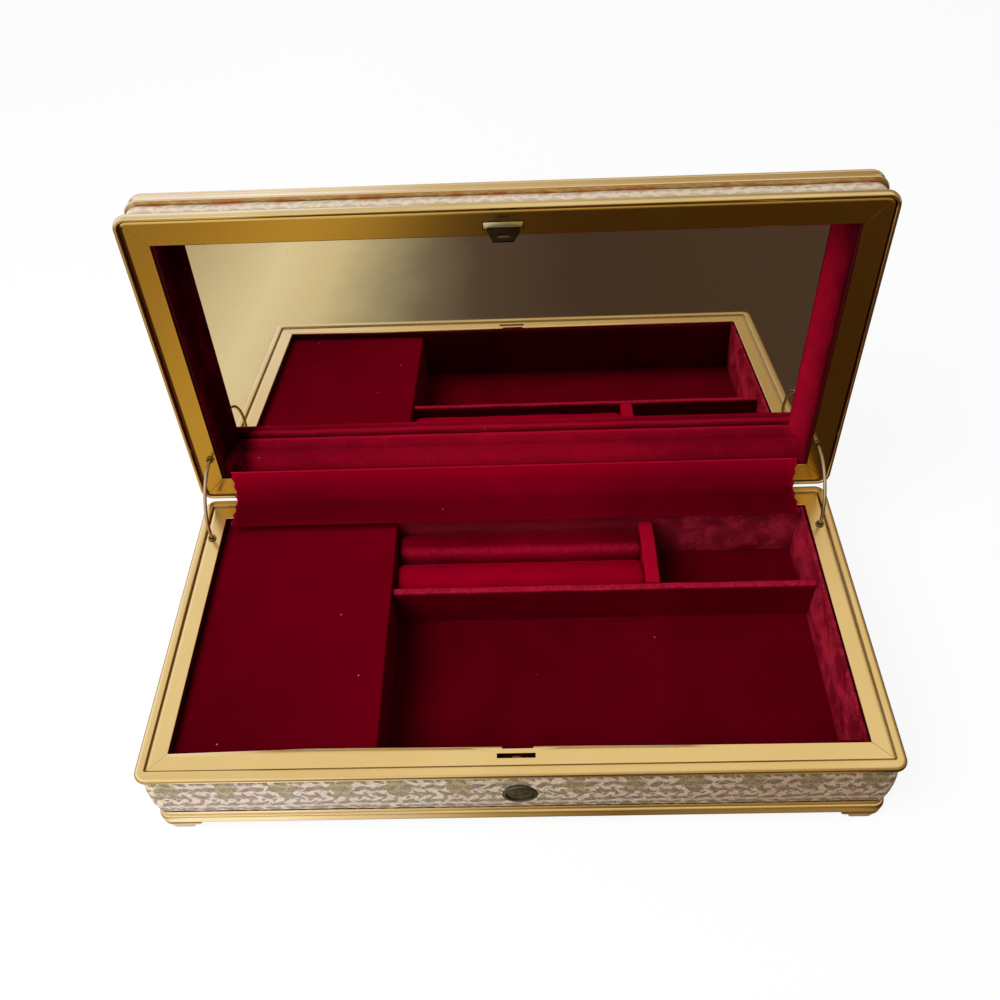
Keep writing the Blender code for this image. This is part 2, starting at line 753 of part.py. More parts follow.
def make_latch(base, button):
    """Bezel, push button, latch plate with its nose, and the coil spring on the stem."""
    face_y = -HALF_D - BEZEL_OUT
    depth = BEZEL_OUT - WALL_OUT - GAP
    outline = [(BEZEL_BORE_R, 0), (BEZEL_BORE_R + 0.0003, 0.0), (BEZEL_R - 0.0006, 0.0), (BEZEL_R - 0.0002, -0.0003),
               (BEZEL_R, -0.0008), (BEZEL_R, -depth), (BEZEL_BORE_R, -depth)]
    bezel = turned("latch_bezel", outline, (BUTTON_X, face_y, BUTTON_Z), (0, -1, 0))
    settle(bezel, base, BRASS)

    face_y = -HALF_D - BUTTON_OUT
    stem = BUTTON_OUT - LATCH_PLATE_M - LATCH_PLATE_T - GAP
    outline = [(0, 0), (0.5 * BUTTON_R, -0.0001), (0.72 * BUTTON_R, -0.0003), (0.80 * BUTTON_R, -0.0006),
               (0.88 * BUTTON_R, -0.0003), (0.96 * BUTTON_R, -0.0002), (BUTTON_R, -0.0005), (BUTTON_R, -BUTTON_T),
               (BUTTON_STEM_R, -BUTTON_T), (BUTTON_STEM_R, -stem), (0, -stem)]
    cap = turned("push_button", outline, (BUTTON_X, face_y, BUTTON_Z), (0, -1, 0))
    settle(cap, button, DARK_BRASS)

    back_y = -HALF_D - LATCH_PLATE_M
    front_y = back_y - LATCH_PLATE_T
    latch = cuboid("latch_plate", (LATCH_X - LATCH_PLATE_W / 2, front_y, FLANGE_Z - LATCH_PLATE_FOOT),
                   (LATCH_X + LATCH_PLATE_W / 2, back_y, FLANGE_Z - GROOVE_D))
    low = -NOSE_DEPTH - NOSE_H / 2
    reach = CATCH_M + NOSE_REACH
    ramp = [(-LATCH_PLATE_M - LATCH_PLATE_T / 2, low), (-reach, low), (-reach, low + 0.35 * NOSE_H),
            (-LATCH_PLATE_M - LATCH_PLATE_T / 2, low + NOSE_H)]
    nose = plate("latch_nose", [ramp], NOSE_W, (CATCH_X, -HALF_D, FLANGE_Z), (0, 1, 0), (0, 0, 1))
    boolean(latch, as_cutter(nose, button), "UNION")
    settle(latch, button, DARK_BRASS)

    start = front_y - SPRING_WIRE_R - GAP
    end = -HALF_D - CATCH_M - CATCH_T - 2 * SLOT_CLEAR + SPRING_WIRE_R + GAP
    count = SPRING_TURNS * 9
    points = []
    for i in range(count + 1):
        angle = 2 * math.pi * SPRING_TURNS * i / count
        points.append((BUTTON_X + SPRING_R * math.cos(angle), start + (end - start) * i / count,
                       BUTTON_Z + SPRING_R * math.sin(angle)))
    settle(wire("latch_spring", points, SPRING_WIRE_R, 1), base, STEEL)


def make_lid_catch(body):
    """Catch on the lid: a bar in the flange and a tapered tongue with a window for the latch's nose."""
    tongue = [(-CATCH_ROOT_W / 2, 0), (-CATCH_ROOT_W / 2, -0.3 * CATCH_L), (-CATCH_TIP_W / 2, -CATCH_L),
              (CATCH_TIP_W / 2, -CATCH_L), (CATCH_ROOT_W / 2, -0.3 * CATCH_L), (CATCH_ROOT_W / 2, 0)]
    middle = LID_Z - FLANGE_Z + NOSE_DEPTH
    window = [(-WINDOW_W / 2, -middle - WINDOW_H / 2), (WINDOW_W / 2, -middle - WINDOW_H / 2),
              (WINDOW_W / 2, -middle + WINDOW_H / 2), (-WINDOW_W / 2, -middle + WINDOW_H / 2)]
    catch = plate("lid_catch", [tongue, window], CATCH_T,
                  (CATCH_X, -HALF_D - CATCH_M - CATCH_T / 2, LID_Z), (1, 0, 0), (0, 0, 1))
    bar = cuboid("catch_bar", (CATCH_X - CATCH_BAR_W / 2, -HALF_D - CATCH_M - CATCH_BAR_D, LID_Z - 0.0002),
                 (CATCH_X + CATCH_BAR_W / 2, -HALF_D - CATCH_M - 0.0001, LID_Z + FLANGE_T - GAP))
    boolean(catch, as_cutter(bar, body), "UNION")
    settle(catch, body, BRASS)


def catch_seat(body):
    """The opening in the lid's flange that the catch's bar fills."""
    low = (CATCH_X - CATCH_BAR_W / 2 - GAP, -HALF_D - CATCH_M - CATCH_BAR_D - GAP, LID_Z - FLANGE_T)
    high = (CATCH_X + CATCH_BAR_W / 2 + GAP, -HALF_D - CATCH_M + GAP, LID_Z + 2 * FLANGE_T)
    return as_cutter(cuboid("catch_seat", low, high), body)


# Hinge and stays

def hinge_rebate(name, up, plane_z, body):
    """The step along the rear rim that leaves room for the knuckles and the velvet strip."""
    outline = [(FLANGE_W - 2 * GROOVE_W, 0.00002), (HINGE_FACE_M, 0.00002), (HINGE_FACE_M, -2 * BEAD_DROP),
               (2 * RIM_OUT, -2 * BEAD_DROP), (2 * RIM_OUT, 2 * BEAD_DROP), (FLANGE_W - 2 * GROOVE_W, 2 * BEAD_DROP)]
    outline = [(m, up * height) for m, height in outline]
    tool = plate(name, [outline], HINGE_LEN + 2 * (PIN_HEAD_L + 2 * GAP), (0, HALF_D, plane_z), (0, 1, 0), (0, 0, 1))
    return as_cutter(tool, body)


def knuckle_gaps(name, first, body):
    """Boxes that clear every second knuckle for the other leaf."""
    count = round(HINGE_LEN / KNUCKLE_L)
    length = HINGE_LEN / count
    bm = bmesh.new()
    for index in range(first, count, 2):
        centre = Matrix.Translation((-HINGE_LEN / 2 + (index + 0.5) * length, AXIS_Y, AXIS_Z))
        size = Matrix.Diagonal((length + GAP, 4 * KNUCKLE_R, 2 * (KNUCKLE_R + GAP), 1))
        bmesh.ops.create_cube(bm, size=1.0, matrix=centre @ size)
    return as_cutter(mesh_object(name, bm), body)


def make_hinge_leaf(name, up, first, body):
    """A hinge leaf: a narrow plate that rolls into knuckles round the pin."""
    inner = -KNUCKLE_R
    meet = -math.sqrt(KNUCKLE_R ** 2 - (KNUCKLE_R - LEAF_T) ** 2)
    start = math.atan2(meet, inner + LEAF_T)
    outline = [(inner, -LEAF_DROP - AXIS_Z + FLANGE_Z), (inner + LEAF_T, -LEAF_DROP - AXIS_Z + FLANGE_Z)]
    outline += circle(0, 0, KNUCKLE_R, 14, start, math.pi - start, False)
    bore = circle(0, 0, KNUCKLE_BORE_R, SMALL_STEPS)
    outline = [(across, up * along) for across, along in outline]
    leaf = plate(name, [outline, bore], HINGE_LEN, (0, AXIS_Y, AXIS_Z), (0, 1, 0), (0, 0, 1))
    boolean(leaf, knuckle_gaps(name + "_gaps", first, body), "DIFFERENCE")
    settle(leaf, body, BRASS)


def make_hinge(base, lid):
    """Two leaves with interleaved knuckles, their pin, and the two halves of the velvet strip over them."""
    make_hinge_leaf("hinge_leaf_base", 1, 1, base)
    make_hinge_leaf("hinge_leaf_lid", -1, 0, lid)
    half = HINGE_LEN / 2
    end = half + GAP + PIN_HEAD_L
    outline = [(0, end), (PIN_HEAD_R, end), (PIN_HEAD_R, half + GAP), (HINGE_PIN_R, half + GAP),
               (HINGE_PIN_R, -half - GAP), (PIN_HEAD_R, -half - GAP), (PIN_HEAD_R, -end), (0, -end)]
    pin = turned("hinge_pin", outline, (0, AXIS_Y, AXIS_Z), (1, 0, 0), SMALL_STEPS)
    settle(pin, base, BRASS)
    for name, body, z0 in (("hinge_strip_base", base, FLANGE_Z + GAP), ("hinge_strip_lid", lid, LID_Z - GAP - STRIP_T)):
        strip = cuboid(name, (-half, HALF_D - STRIP_OVERHANG, z0), (half, HALF_D + STRIP_REAR_OUT, z0 + STRIP_T))
        settle(strip, body, VELVET)


def stay_end_angle():
    """How far a stay's head lies past the horizontal plane of the pin, in radians."""
    below = AXIS_Z - FLANGE_Z + FLANGE_T + EYELET_TAIL + GAP + STAY_HEAD_R
    return math.asin(below / STAY_ARC_R)


def stay_point(side, angle):
    """A point of a stay's arc, by its angle above the front horizontal."""
    return (side * (HALF_W + STAY_M), AXIS_Y - STAY_ARC_R * math.cos(angle), AXIS_Z + STAY_ARC_R * math.sin(angle))


def make_stay(name, side, body):
    """A wire stay with a ball head at each end, open as in the photograph."""
    start = -stay_end_angle()
    end = math.radians(LID_OPEN_DEG) + stay_end_angle()
    steps = 22
    stay = wire(name, [stay_point(side, start + (end - start) * i / steps) for i in range(steps + 1)], STAY_WIRE_R, 2)
    shade_round(stay)
    for label, angle in (("low", start), ("high", end)):
        head = as_cutter(ball(f"{name}_{label}_head", STAY_HEAD_R, stay_point(side, angle)), body)
        boolean(stay, head, "UNION")
    settle(stay, body, BRASS)


def stay_slot(name, side, angle, z0, z1, body):
    """A pocket in a side wall for the end of a stay, which swings in by the given angle."""
    x = side * (HALF_W + STAY_M)
    y0 = AXIS_Y - STAY_ARC_R - STAY_HEAD_R - 2 * GAP
    y1 = AXIS_Y - STAY_ARC_R * math.cos(angle) + STAY_HEAD_R + 2 * GAP
    return as_cutter(cuboid(name, (x - STAY_SLOT_W / 2, y0, z0), (x + STAY_SLOT_W / 2, y1, z1)), body)


def stay_slot_base(side, body):
    """Pocket in the base's side wall."""
    angle = stay_end_angle() + STAY_RATIO * math.radians(LID_OPEN_DEG)
    z0 = AXIS_Z - STAY_ARC_R * math.sin(min(angle, math.pi / 2)) - STAY_HEAD_R - 2 * GAP
    return stay_slot(f"base_stay_slot_{SIDE_NAMES[side]}", side, angle, z0, FLANGE_Z, body)


def stay_slot_lid(side, body):
    """Pocket in the lid's side wall."""
    angle = stay_end_angle() + (1 - STAY_RATIO) * math.radians(LID_OPEN_DEG)
    return stay_slot(f"lid_stay_slot_{SIDE_NAMES[side]}", side, angle, LID_Z, LID_Z + LID_CARCASS_H + GAP, body)


def eyelet_place(side, up, plane_z):
    """Where a stay crosses the middle of a flange."""
    drop = AXIS_Z - FLANGE_Z + FLANGE_T / 2
    y = AXIS_Y - math.sqrt(STAY_ARC_R ** 2 - drop ** 2)
    return side * (HALF_W + STAY_M), y, plane_z


def eyelet_hole(side, up, plane_z, body):
    """Hole in a flange for an eyelet."""
    x, y, z = eyelet_place(side, up, plane_z)
    part = "base" if up > 0 else "lid"
    tool = rod(f"{part}_eyelet_hole_{SIDE_NAMES[side]}", EYELET_TUBE_R + GAP, (x, y, z - 2 * FLANGE_T),
               (x, y, z + 2 * FLANGE_T), 16)
    return as_cutter(tool, body)


def make_eyelet(name, side, up, plane_z, body):
    """A turned eyelet: a thin head on the flange and a tube through it."""
    x, y, z = eyelet_place(side, up, plane_z)
    head = GAP + EYELET_HEAD_T
    tail = -FLANGE_T - EYELET_TAIL
    outline = [(EYELET_BORE_R, head), (EYELET_HEAD_R - 0.0003, head), (EYELET_HEAD_R, GAP), (EYELET_TUBE_R, GAP),
               (EYELET_TUBE_R, tail), (EYELET_BORE_R, tail)]
    settle(turned(name, outline, (x, y, z), (0, 0, up), 16), body, BRASS)


# Trays

def make_trays(body):
    """Velvet linings, music platform, dividers and ring rolls."""
    floor_z = CARCASS_Z
    lining_z = TRAY_FLOOR_Z + GAP
    pad = cuboid("tray_floor_pad", (TRAY_LEFT_X, -HALF_D, floor_z), (HALF_W, HALF_D, TRAY_FLOOR_Z))
    settle(pad, body, VELVET)

    edge = 0.0005
    front = cuboid("tray_lining_front", (TRAY_IN_X0 + GAP, -HALF_D, lining_z), (TRAY_IN_X1 - GAP, TRAY_IN_Y0, TRAY_TOP_Z),
                   edge)
    pocket = cuboid("latch_relief", (LATCH_X - LATCH_PLATE_W / 2 - 2 * GAP, -HALF_D - GAP,
                                     FLANGE_Z - LATCH_PLATE_FOOT - 2 * GAP),
                    (LATCH_X + LATCH_PLATE_W / 2 + 2 * GAP, -HALF_D - LATCH_PLATE_M + BUTTON_TRAVEL + GAP, FLANGE_Z))
    boolean(front, as_cutter(pocket, body), "DIFFERENCE")
    settle(front, body, VELVET)
    rear = cuboid("tray_lining_rear", (TRAY_IN_X0 + GAP, TRAY_IN_Y1, lining_z), (TRAY_IN_X1 - GAP, HALF_D, TRAY_TOP_Z),
                  edge)
    settle(rear, body, VELVET)
    right = cuboid("tray_lining_right", (TRAY_IN_X1, -HALF_D, lining_z), (HALF_W, HALF_D, TRAY_TOP_Z), edge)
    settle(right, body, VELVET)
    left = cuboid("tray_lining_left", (TRAY_LEFT_X, -HALF_D, lining_z), (TRAY_IN_X0, HALF_D, PLATFORM_Z - GAP), edge)
    settle(left, body, VELVET)

    partition = cuboid("music_partition", (PARTITION_X - PARTITION_T, -HALF_D, floor_z),
                       (PARTITION_X, HALF_D, PLATFORM_Z - GAP))
    settle(partition, body, WOOD)
    batten = cuboid("platform_batten", (-HALF_W, -HALF_D + BATTEN_W, PLATFORM_Z - GAP - BATTEN_H),
                    (-HALF_W + BATTEN_W, HALF_D - BATTEN_W, PLATFORM_Z - GAP))
    settle(batten, body, WOOD)
    platform = cuboid("music_platform", (-HALF_W, -HALF_D, PLATFORM_Z), (PLATFORM_EDGE_X, HALF_D, PLATFORM_TOP_Z),
                      0.0004)
    settle(platform, body, VELVET)

    divider_y0 = LONG_DIVIDER_Y - LONG_DIVIDER_T / 2
    divider_y1 = LONG_DIVIDER_Y + LONG_DIVIDER_T / 2
    long_divider = cuboid("long_divider", (TRAY_IN_X0 + GAP, divider_y0, lining_z),
                          (TRAY_IN_X1 - GAP, divider_y1, DIVIDER_TOP_Z), 0.0008)
    settle(long_divider, body, VELVET)
    short_x0 = SHORT_DIVIDER_X - SHORT_DIVIDER_T / 2
    short_x1 = SHORT_DIVIDER_X + SHORT_DIVIDER_T / 2
    short_divider = cuboid("short_divider", (short_x0, divider_y1 + GAP, lining_z),
                           (short_x1, TRAY_IN_Y1 - GAP, DIVIDER_TOP_Z), 0.0008)
    settle(short_divider, body, VELVET)

    slit_y0 = RING_SLIT_Y - RING_SLIT / 2
    slit_y1 = RING_SLIT_Y + RING_SLIT / 2
    for name, y0, y1 in (("ring_roll_front", divider_y1 + GAP, slit_y0), ("ring_roll_rear", slit_y1, TRAY_IN_Y1 - GAP)):
        make_ring_roll(name, TRAY_IN_X0 + RING_END_GAP, short_x0 - GAP, y0, y1, lining_z, body)


def make_ring_roll(name, x0, x1, y0, y1, z0, body):
    """A foam roll in velvet: flat below, a rounded crown and ends that draw in, smoothed from a coarse cage."""
    half = (y1 - y0) / 2
    middle = (y0 + y1) / 2
    section = [(-0.98, 0.0), (-1.0, 0.12), (-1.0, 0.62), (-0.72, 0.93), (0.0, 1.04), (0.72, 0.93), (1.0, 0.62),
               (1.0, 0.12), (0.98, 0.0)]
    draw = 0.0025
    stations = [(x0, 0.93), (x0 + draw, 1.0), (x0 + 4 * draw, 1.0), ((x0 + x1) / 2, 1.0), (x1 - 4 * draw, 1.0),
                (x1 - draw, 1.0), (x1, 0.93)]
    bm = bmesh.new()
    skin(bm, [[(x, middle + half * across * size, z0 + RING_ROLL_H * up * (size if up > 0.2 else 1.0))
               for across, up in section] for x, size in stations], True)
    roll = mesh_object(name, bm)
    rounding = roll.modifiers.new("soft_form", "SUBSURF")
    rounding.levels = 1
    rounding.render_levels = 1
    roll.data.shade_smooth()
    settle(roll, body, VELVET)


# Lid

# How the padded panel rises: distance in from its edge, and share of the crown's height
PANEL_RISE = ((0.0, 0.0), (0.0, 0.30), (0.0015, 0.52), (0.006, 0.74), (0.016, 0.90), (0.034, 0.98), (0.050, 1.0))


def lid_levels(m, z):
    """One level of a stack that follows the opening at an offset m."""
    return (-HALF_W - m, HALF_W + m, -HALF_D - m, HALF_D + m, corner_radius(m), LID_Z + z)


def make_lid(body):
    """Rim frame, carcass, band, top frame, board, padded panel, mirror, backing and lining."""
    rim = frame_ring("lid_rim_frame", rim_section(-1, LID_RIM_EXTRA), LID_Z)
    boolean(rim, catch_seat(body), "DIFFERENCE")
    boolean(rim, hinge_rebate("lid_hinge_rebate", -1, LID_Z, body), "DIFFERENCE")
    for side in SIDES:
        boolean(rim, eyelet_hole(side, -1, LID_Z, body), "DIFFERENCE")
    settle(rim, body, GILT)

    carcass_z0 = FLANGE_T + GAP
    carcass = frame_ring("lid_carcass", [(WALL_IN, carcass_z0), (WALL_IN, LID_CARCASS_H), (WALL_OUT, LID_CARCASS_H),
                                         (WALL_OUT, carcass_z0)], LID_Z)
    for side in SIDES:
        boolean(carcass, stay_slot_lid(side, body), "DIFFERENCE")
    settle(carcass, body, WOOD)

    band_foot = BAND_TOP_OUT + LID_BAND_EXTRA
    band_top = BAND_FOOT_OUT + LID_BAND_EXTRA
    band = frame_ring("lid_brocade_band", band_section(LID_BAND_H0, LID_BAND_H1, band_foot, band_top, LID_BAND_BULGE),
                      LID_Z)
    settle(band, body, BROCADE)
    settle(frame_ring("lid_top_frame", top_frame_section(), LID_Z), body, GILT)

    board = board_piece("lid_top_board", LID_Z + LID_BOARD_H, LID_Z + LID_BOARD_H + LID_BOARD_T)
    settle(board, body, WOOD)

    edge_m = TOP_FRAME_LIP_IN - GAP
    levels = [lid_levels(edge_m - inward, PANEL_H + PANEL_CROWN * share) for inward, share in PANEL_RISE]
    panel = stack("lid_brocade_panel", levels)
    settle(panel, body, BROCADE)

    mirror = cuboid("lid_mirror", (-HALF_W, -HALF_D, LID_Z + MIRROR_DEPTH),
                    (HALF_W, HALF_D, LID_Z + MIRROR_DEPTH + MIRROR_T))
    settle(mirror, body, SILVER_GLASS)
    card = cuboid("mirror_backing", (-HALF_W, -HALF_D, LID_Z + CARD_H), (HALF_W, HALF_D, LID_Z + CARD_H + CARD_T))
    settle(card, body, CARD)
    make_lid_lining(body)


def make_lid_lining(body):
    """Velvet lining: upright at the mouth, then a padded slope down to the mirror, fuller along the hinge."""
    foot = FLANGE_T + GAP
    top = MIRROR_DEPTH - GAP
    knee = LINING_KNEE_H
    slope = 0.55 * LINING_SLOPE_IN
    rows = [(0.0, 0.0, foot), (0.0, 0.0, top), (LINING_SLOPE_IN, LINING_REAR_IN, top),
            (slope, LINING_REAR_IN - 0.0004, (knee + top) / 2), (LINING_T, LINING_REAR_IN - 0.0006, knee),
            (LINING_T, LINING_REAR_MOUTH_IN, foot)]
    radius = INNER_CORNER_R
    bm = bmesh.new()
    skin(bm, [[(x, y, LID_Z + height) for x, y in
               rounded_loop(-HALF_W + inward, HALF_W - inward, -HALF_D + inward, HALF_D - rear, radius)]
              for inward, rear, height in rows], False)
    lining = mesh_object("lid_lining", bm)
    shade_round(lining)
    settle(lining, body, VELVET)


# Musical movement

def make_bedplate(body):
    """Bedplate with two bearing uprights for the drum, a comb seat and the stop lever's post."""
    x0 = BARREL_X - BARREL_R - 0.002
    y0 = BARREL_Y - BEDPLATE_D / 2
    bed = cuboid("movement_bedplate", (x0, y0, BED_Z), (x0 + BEDPLATE_W, y0 + BEDPLATE_D, BED_TOP_Z))
    top = DRUM_Z + 0.003
    for name, x in (("bearing_inner", DRUM_X - BEARING_T - GAP), ("bearing_outer", DRUM_X + DRUM_L + GAP)):
        upright = cuboid(name, (x, DRUM_Y - BEARING_W / 2, BED_Z + BEDPLATE_T / 2),
                         (x + BEARING_T, DRUM_Y + BEARING_W / 2, top))
        boolean(bed, as_cutter(upright, body), "UNION")
        hole = rod(name + "_hole", ARBOR_R + ARBOR_CLEAR, (x - GAP, DRUM_Y, DRUM_Z),
                   (x + BEARING_T + GAP, DRUM_Y, DRUM_Z), 16)
        boolean(bed, as_cutter(hole, body), "DIFFERENCE")
    seat = cuboid("comb_seat", (DRUM_X, comb_rear_y(), BED_Z + BEDPLATE_T / 2),
                  (DRUM_X + DRUM_L, comb_rear_y() + COMB_D - COMB_TOOTH_L - 0.001, DRUM_Z - COMB_T / 2 - GAP))
    boolean(bed, as_cutter(seat, body), "UNION")
    post_x, post_y = stop_post()
    post = rod("stop_post", STOP_POST_R, (post_x, post_y, BED_Z + BEDPLATE_T / 2),
               (post_x, post_y, stop_level() + STOP_ARM_T + GAP), SMALL_STEPS)
    boolean(bed, as_cutter(post, body), "UNION")
    arbor = rod("bed_arbor_hole", WIND_ARBOR_R + GAP, (BARREL_X, BARREL_Y, BED_Z - GAP),
                (BARREL_X, BARREL_Y, BED_TOP_Z + GAP))
    boolean(bed, as_cutter(arbor, body), "DIFFERENCE")
    for index, (x, y) in enumerate(SCREW_PLACES):
        hole = rod(f"bed_screw_hole_{index}", SCREW_R + GAP, (x, y, BED_Z - GAP), (x, y, BED_TOP_Z + GAP),
                   SMALL_STEPS)
        boolean(bed, as_cutter(hole, body), "DIFFERENCE")
    settle(bed, body, STEEL)


def comb_rear_y():
    """The comb's edge furthest from the drum."""
    return DRUM_Y - DRUM_R - PIN_H - GAP - COMB_D


def make_comb(body):
    """Steel comb: a plate with eighteen teeth that end just short of the drum's pins."""
    bm = bmesh.new()
    pitch = DRUM_L / COMB_TEETH
    rear = comb_rear_y()
    tip = rear + COMB_D
    for index in range(COMB_TEETH - 1):
        x = DRUM_X + pitch * (index + 1)
        centre = Matrix.Translation((x, tip - COMB_TOOTH_L / 2 + GAP, DRUM_Z))
        size = Matrix.Diagonal((COMB_SLIT, COMB_TOOTH_L + 2 * GAP, 4 * COMB_T, 1))
        bmesh.ops.create_cube(bm, size=1.0, matrix=centre @ size)
    comb = cuboid("movement_comb", (DRUM_X, rear, DRUM_Z - COMB_T / 2), (DRUM_X + DRUM_L, tip, DRUM_Z + COMB_T / 2))
    boolean(comb, as_cutter(mesh_object("comb_slits", bm), body), "DIFFERENCE")
    settle(comb, body, STEEL)


def make_barrel(body):
    """Spring barrel with a crown of teeth round its top edge."""
    crown_in = CROWN_R - CROWN_W / 2
    crown_out = CROWN_R + CROWN_W / 2
    teeth_top = PITCH_Z + ADDENDUM
    bore = WIND_ARBOR_R + GAP
    outline = [(crown_in, teeth_top - BARREL_Z), (crown_out, teeth_top - BARREL_Z), (crown_out, BARREL_H),
               (BARREL_R, BARREL_H - 0.0005), (BARREL_R, 0), (bore, 0), (bore, BARREL_H), (crown_in, BARREL_H)]
    barrel = to_mesh(turned("spring_barrel", outline, (BARREL_X, BARREL_Y, BARREL_Z), (0, 0, 1), 2 * ROUND_STEPS))
    shade_round(barrel)
    pitch = 2 * math.pi * CROWN_R / CROWN_TEETH
    bm = bmesh.new()
    for index in range(CROWN_TEETH):
        angle = 2 * math.pi * (index + 0.5) / CROWN_TEETH
        turn = Matrix.Translation((BARREL_X, BARREL_Y, BARREL_TOP_Z)) @ Matrix.Rotation(angle, 4, "Z")
        shape = Matrix.Translation((CROWN_R, 0, 0.0011)) @ Matrix.Diagonal((1.5 * CROWN_W, pitch - CROWN_TOOTH_T,
                                                                           0.002, 1))
        bmesh.ops.create_cube(bm, size=1.0, matrix=turn @ shape)
    boolean(barrel, as_cutter(mesh_object("crown_gaps", bm), body), "DIFFERENCE")
    settle(barrel, body, BRASS)


def make_drum(body):
    """Pinned drum on its arbor, and the pinion that the barrel drives."""
    left = BARREL_X + CROWN_R - PINION_W / 2 - 2 * GAP
    right = DRUM_X + DRUM_L + GAP + BEARING_T + GAP
    outline = [(0, right), (ARBOR_R, right), (ARBOR_R, DRUM_X + DRUM_L), (DRUM_R, DRUM_X + DRUM_L), (DRUM_R, DRUM_X),
               (ARBOR_R, DRUM_X), (ARBOR_R, left), (0, left)]
    outline = [(radius, x - DRUM_X) for radius, x in outline]
    drum = to_mesh(turned("music_cylinder", outline, (DRUM_X, DRUM_Y, DRUM_Z), (1, 0, 0)))
    shade_round(drum)
    bm = bmesh.new()
    for index in range(PIN_COUNT):
        track = index % COMB_TEETH
        angle = math.radians(137.5 * index)
        x = DRUM_X + DRUM_L * (track + 0.5) / COMB_TEETH
        place = Matrix.Translation((x, DRUM_Y, DRUM_Z)) @ Matrix.Rotation(angle, 4, "X")
        stand = Matrix.Translation((0, 0, DRUM_R - 0.0001 + PIN_H / 2))
        bmesh.ops.create_cone(bm, cap_ends=True, segments=5, radius1=PIN_R, radius2=0.6 * PIN_R, depth=PIN_H,
                              matrix=place @ stand)
    boolean(drum, as_cutter(mesh_object("drum_pins", bm), body), "UNION")
    settle(drum, body, BRASS)

    root = PINION_R - DEDENDUM
    tip = PINION_R + ADDENDUM
    outline = []
    for index in range(PINION_TEETH):
        middle = 2 * math.pi * (index + 0.5) / PINION_TEETH - math.pi / 2
        for radius, half in ((root, -0.00036), (tip, -0.00016), (tip, 0.00016), (root, 0.00036)):
            angle = middle + half / radius
            outline.append((radius * math.cos(angle), radius * math.sin(angle)))
    hole = circle(0, 0, ARBOR_R + GAP, SMALL_STEPS)
    pinion = plate("cylinder_pinion", [outline, hole], PINION_W, (BARREL_X + CROWN_R, DRUM_Y, DRUM_Z), (0, 1, 0),
                   (0, 0, 1))
    settle(pinion, body, BRASS)


def make_governor(base, governor):
    """Air brake: a two-bladed fan on a fine shaft, held by an angled cock."""
    rear = FAN_Y + FAN_R + 0.0008
    top = DRUM_Z + 0.004
    side = [(0, 0), (0, top - BED_TOP_Z - GAP), (-COCK_REACH, top - BED_TOP_Z - GAP),
            (-COCK_REACH, top - BED_TOP_Z - GAP - COCK_T), (-COCK_T, top - BED_TOP_Z - GAP - COCK_T), (-COCK_T, 0)]
    cock = plate("governor_cock", [side], COCK_W, (FAN_X, rear + COCK_T, BED_TOP_Z + GAP), (0, 1, 0), (0, 0, 1))
    settle(cock, base, BRASS)

    low = BED_TOP_Z + GAP
    high = top - COCK_T - GAP
    disc_z = low + 0.35 * (high - low)
    outline = [(0, high), (FAN_SHAFT_R, high), (FAN_SHAFT_R, disc_z + 0.0008), (BRAKE_DISC_R, disc_z + 0.0008),
               (BRAKE_DISC_R, disc_z), (FAN_SHAFT_R, disc_z), (FAN_SHAFT_R, low), (0, low)]
    outline = [(radius, z - low) for radius, z in outline]
    fan = to_mesh(turned("governor_fan", outline, (FAN_X, FAN_Y, low), (0, 0, 1), SMALL_STEPS))
    blades = cuboid("fan_blades", (FAN_X - FAN_R, FAN_Y - FAN_T / 2, high - FAN_H - 0.001),
                    (FAN_X + FAN_R, FAN_Y + FAN_T / 2, high - 0.001))
    boolean(fan, as_cutter(blades, governor), "UNION")
    settle(fan, governor, BRASS)


def stop_level():
    """Height of the stop lever's underside, level with the brake disc."""
    low = BED_TOP_Z + GAP
    high = DRUM_Z + 0.004 - COCK_T - GAP
    return low + 0.35 * (high - low)


def stop_post():
    """Plan position of the stop lever's post."""
    return FAN_X - STOP_ARM_L, FAN_Y + BRAKE_DISC_R + STOP_ARM_W / 2 + GAP


def make_stop_lever(body):
    """Start and stop lever: a boss on its post and an arm that can press on the brake disc."""
    x, y = stop_post()
    outline = circle(0, 0, STOP_BOSS_R, 16, math.asin(STOP_ARM_W / 2 / STOP_BOSS_R),
                     2 * math.pi - 2 * math.asin(STOP_ARM_W / 2 / STOP_BOSS_R), False)
    outline += [(STOP_ARM_L, -STOP_ARM_W / 2), (STOP_ARM_L, STOP_ARM_W / 2)]
    bore = circle(0, 0, STOP_POST_R + ARBOR_CLEAR, SMALL_STEPS)
    lever = plate("stop_lever", [outline, bore], STOP_ARM_T, (x, y, stop_level() + STOP_ARM_T / 2), (1, 0, 0),
                  (0, 1, 0))
    settle(lever, body, STEEL)


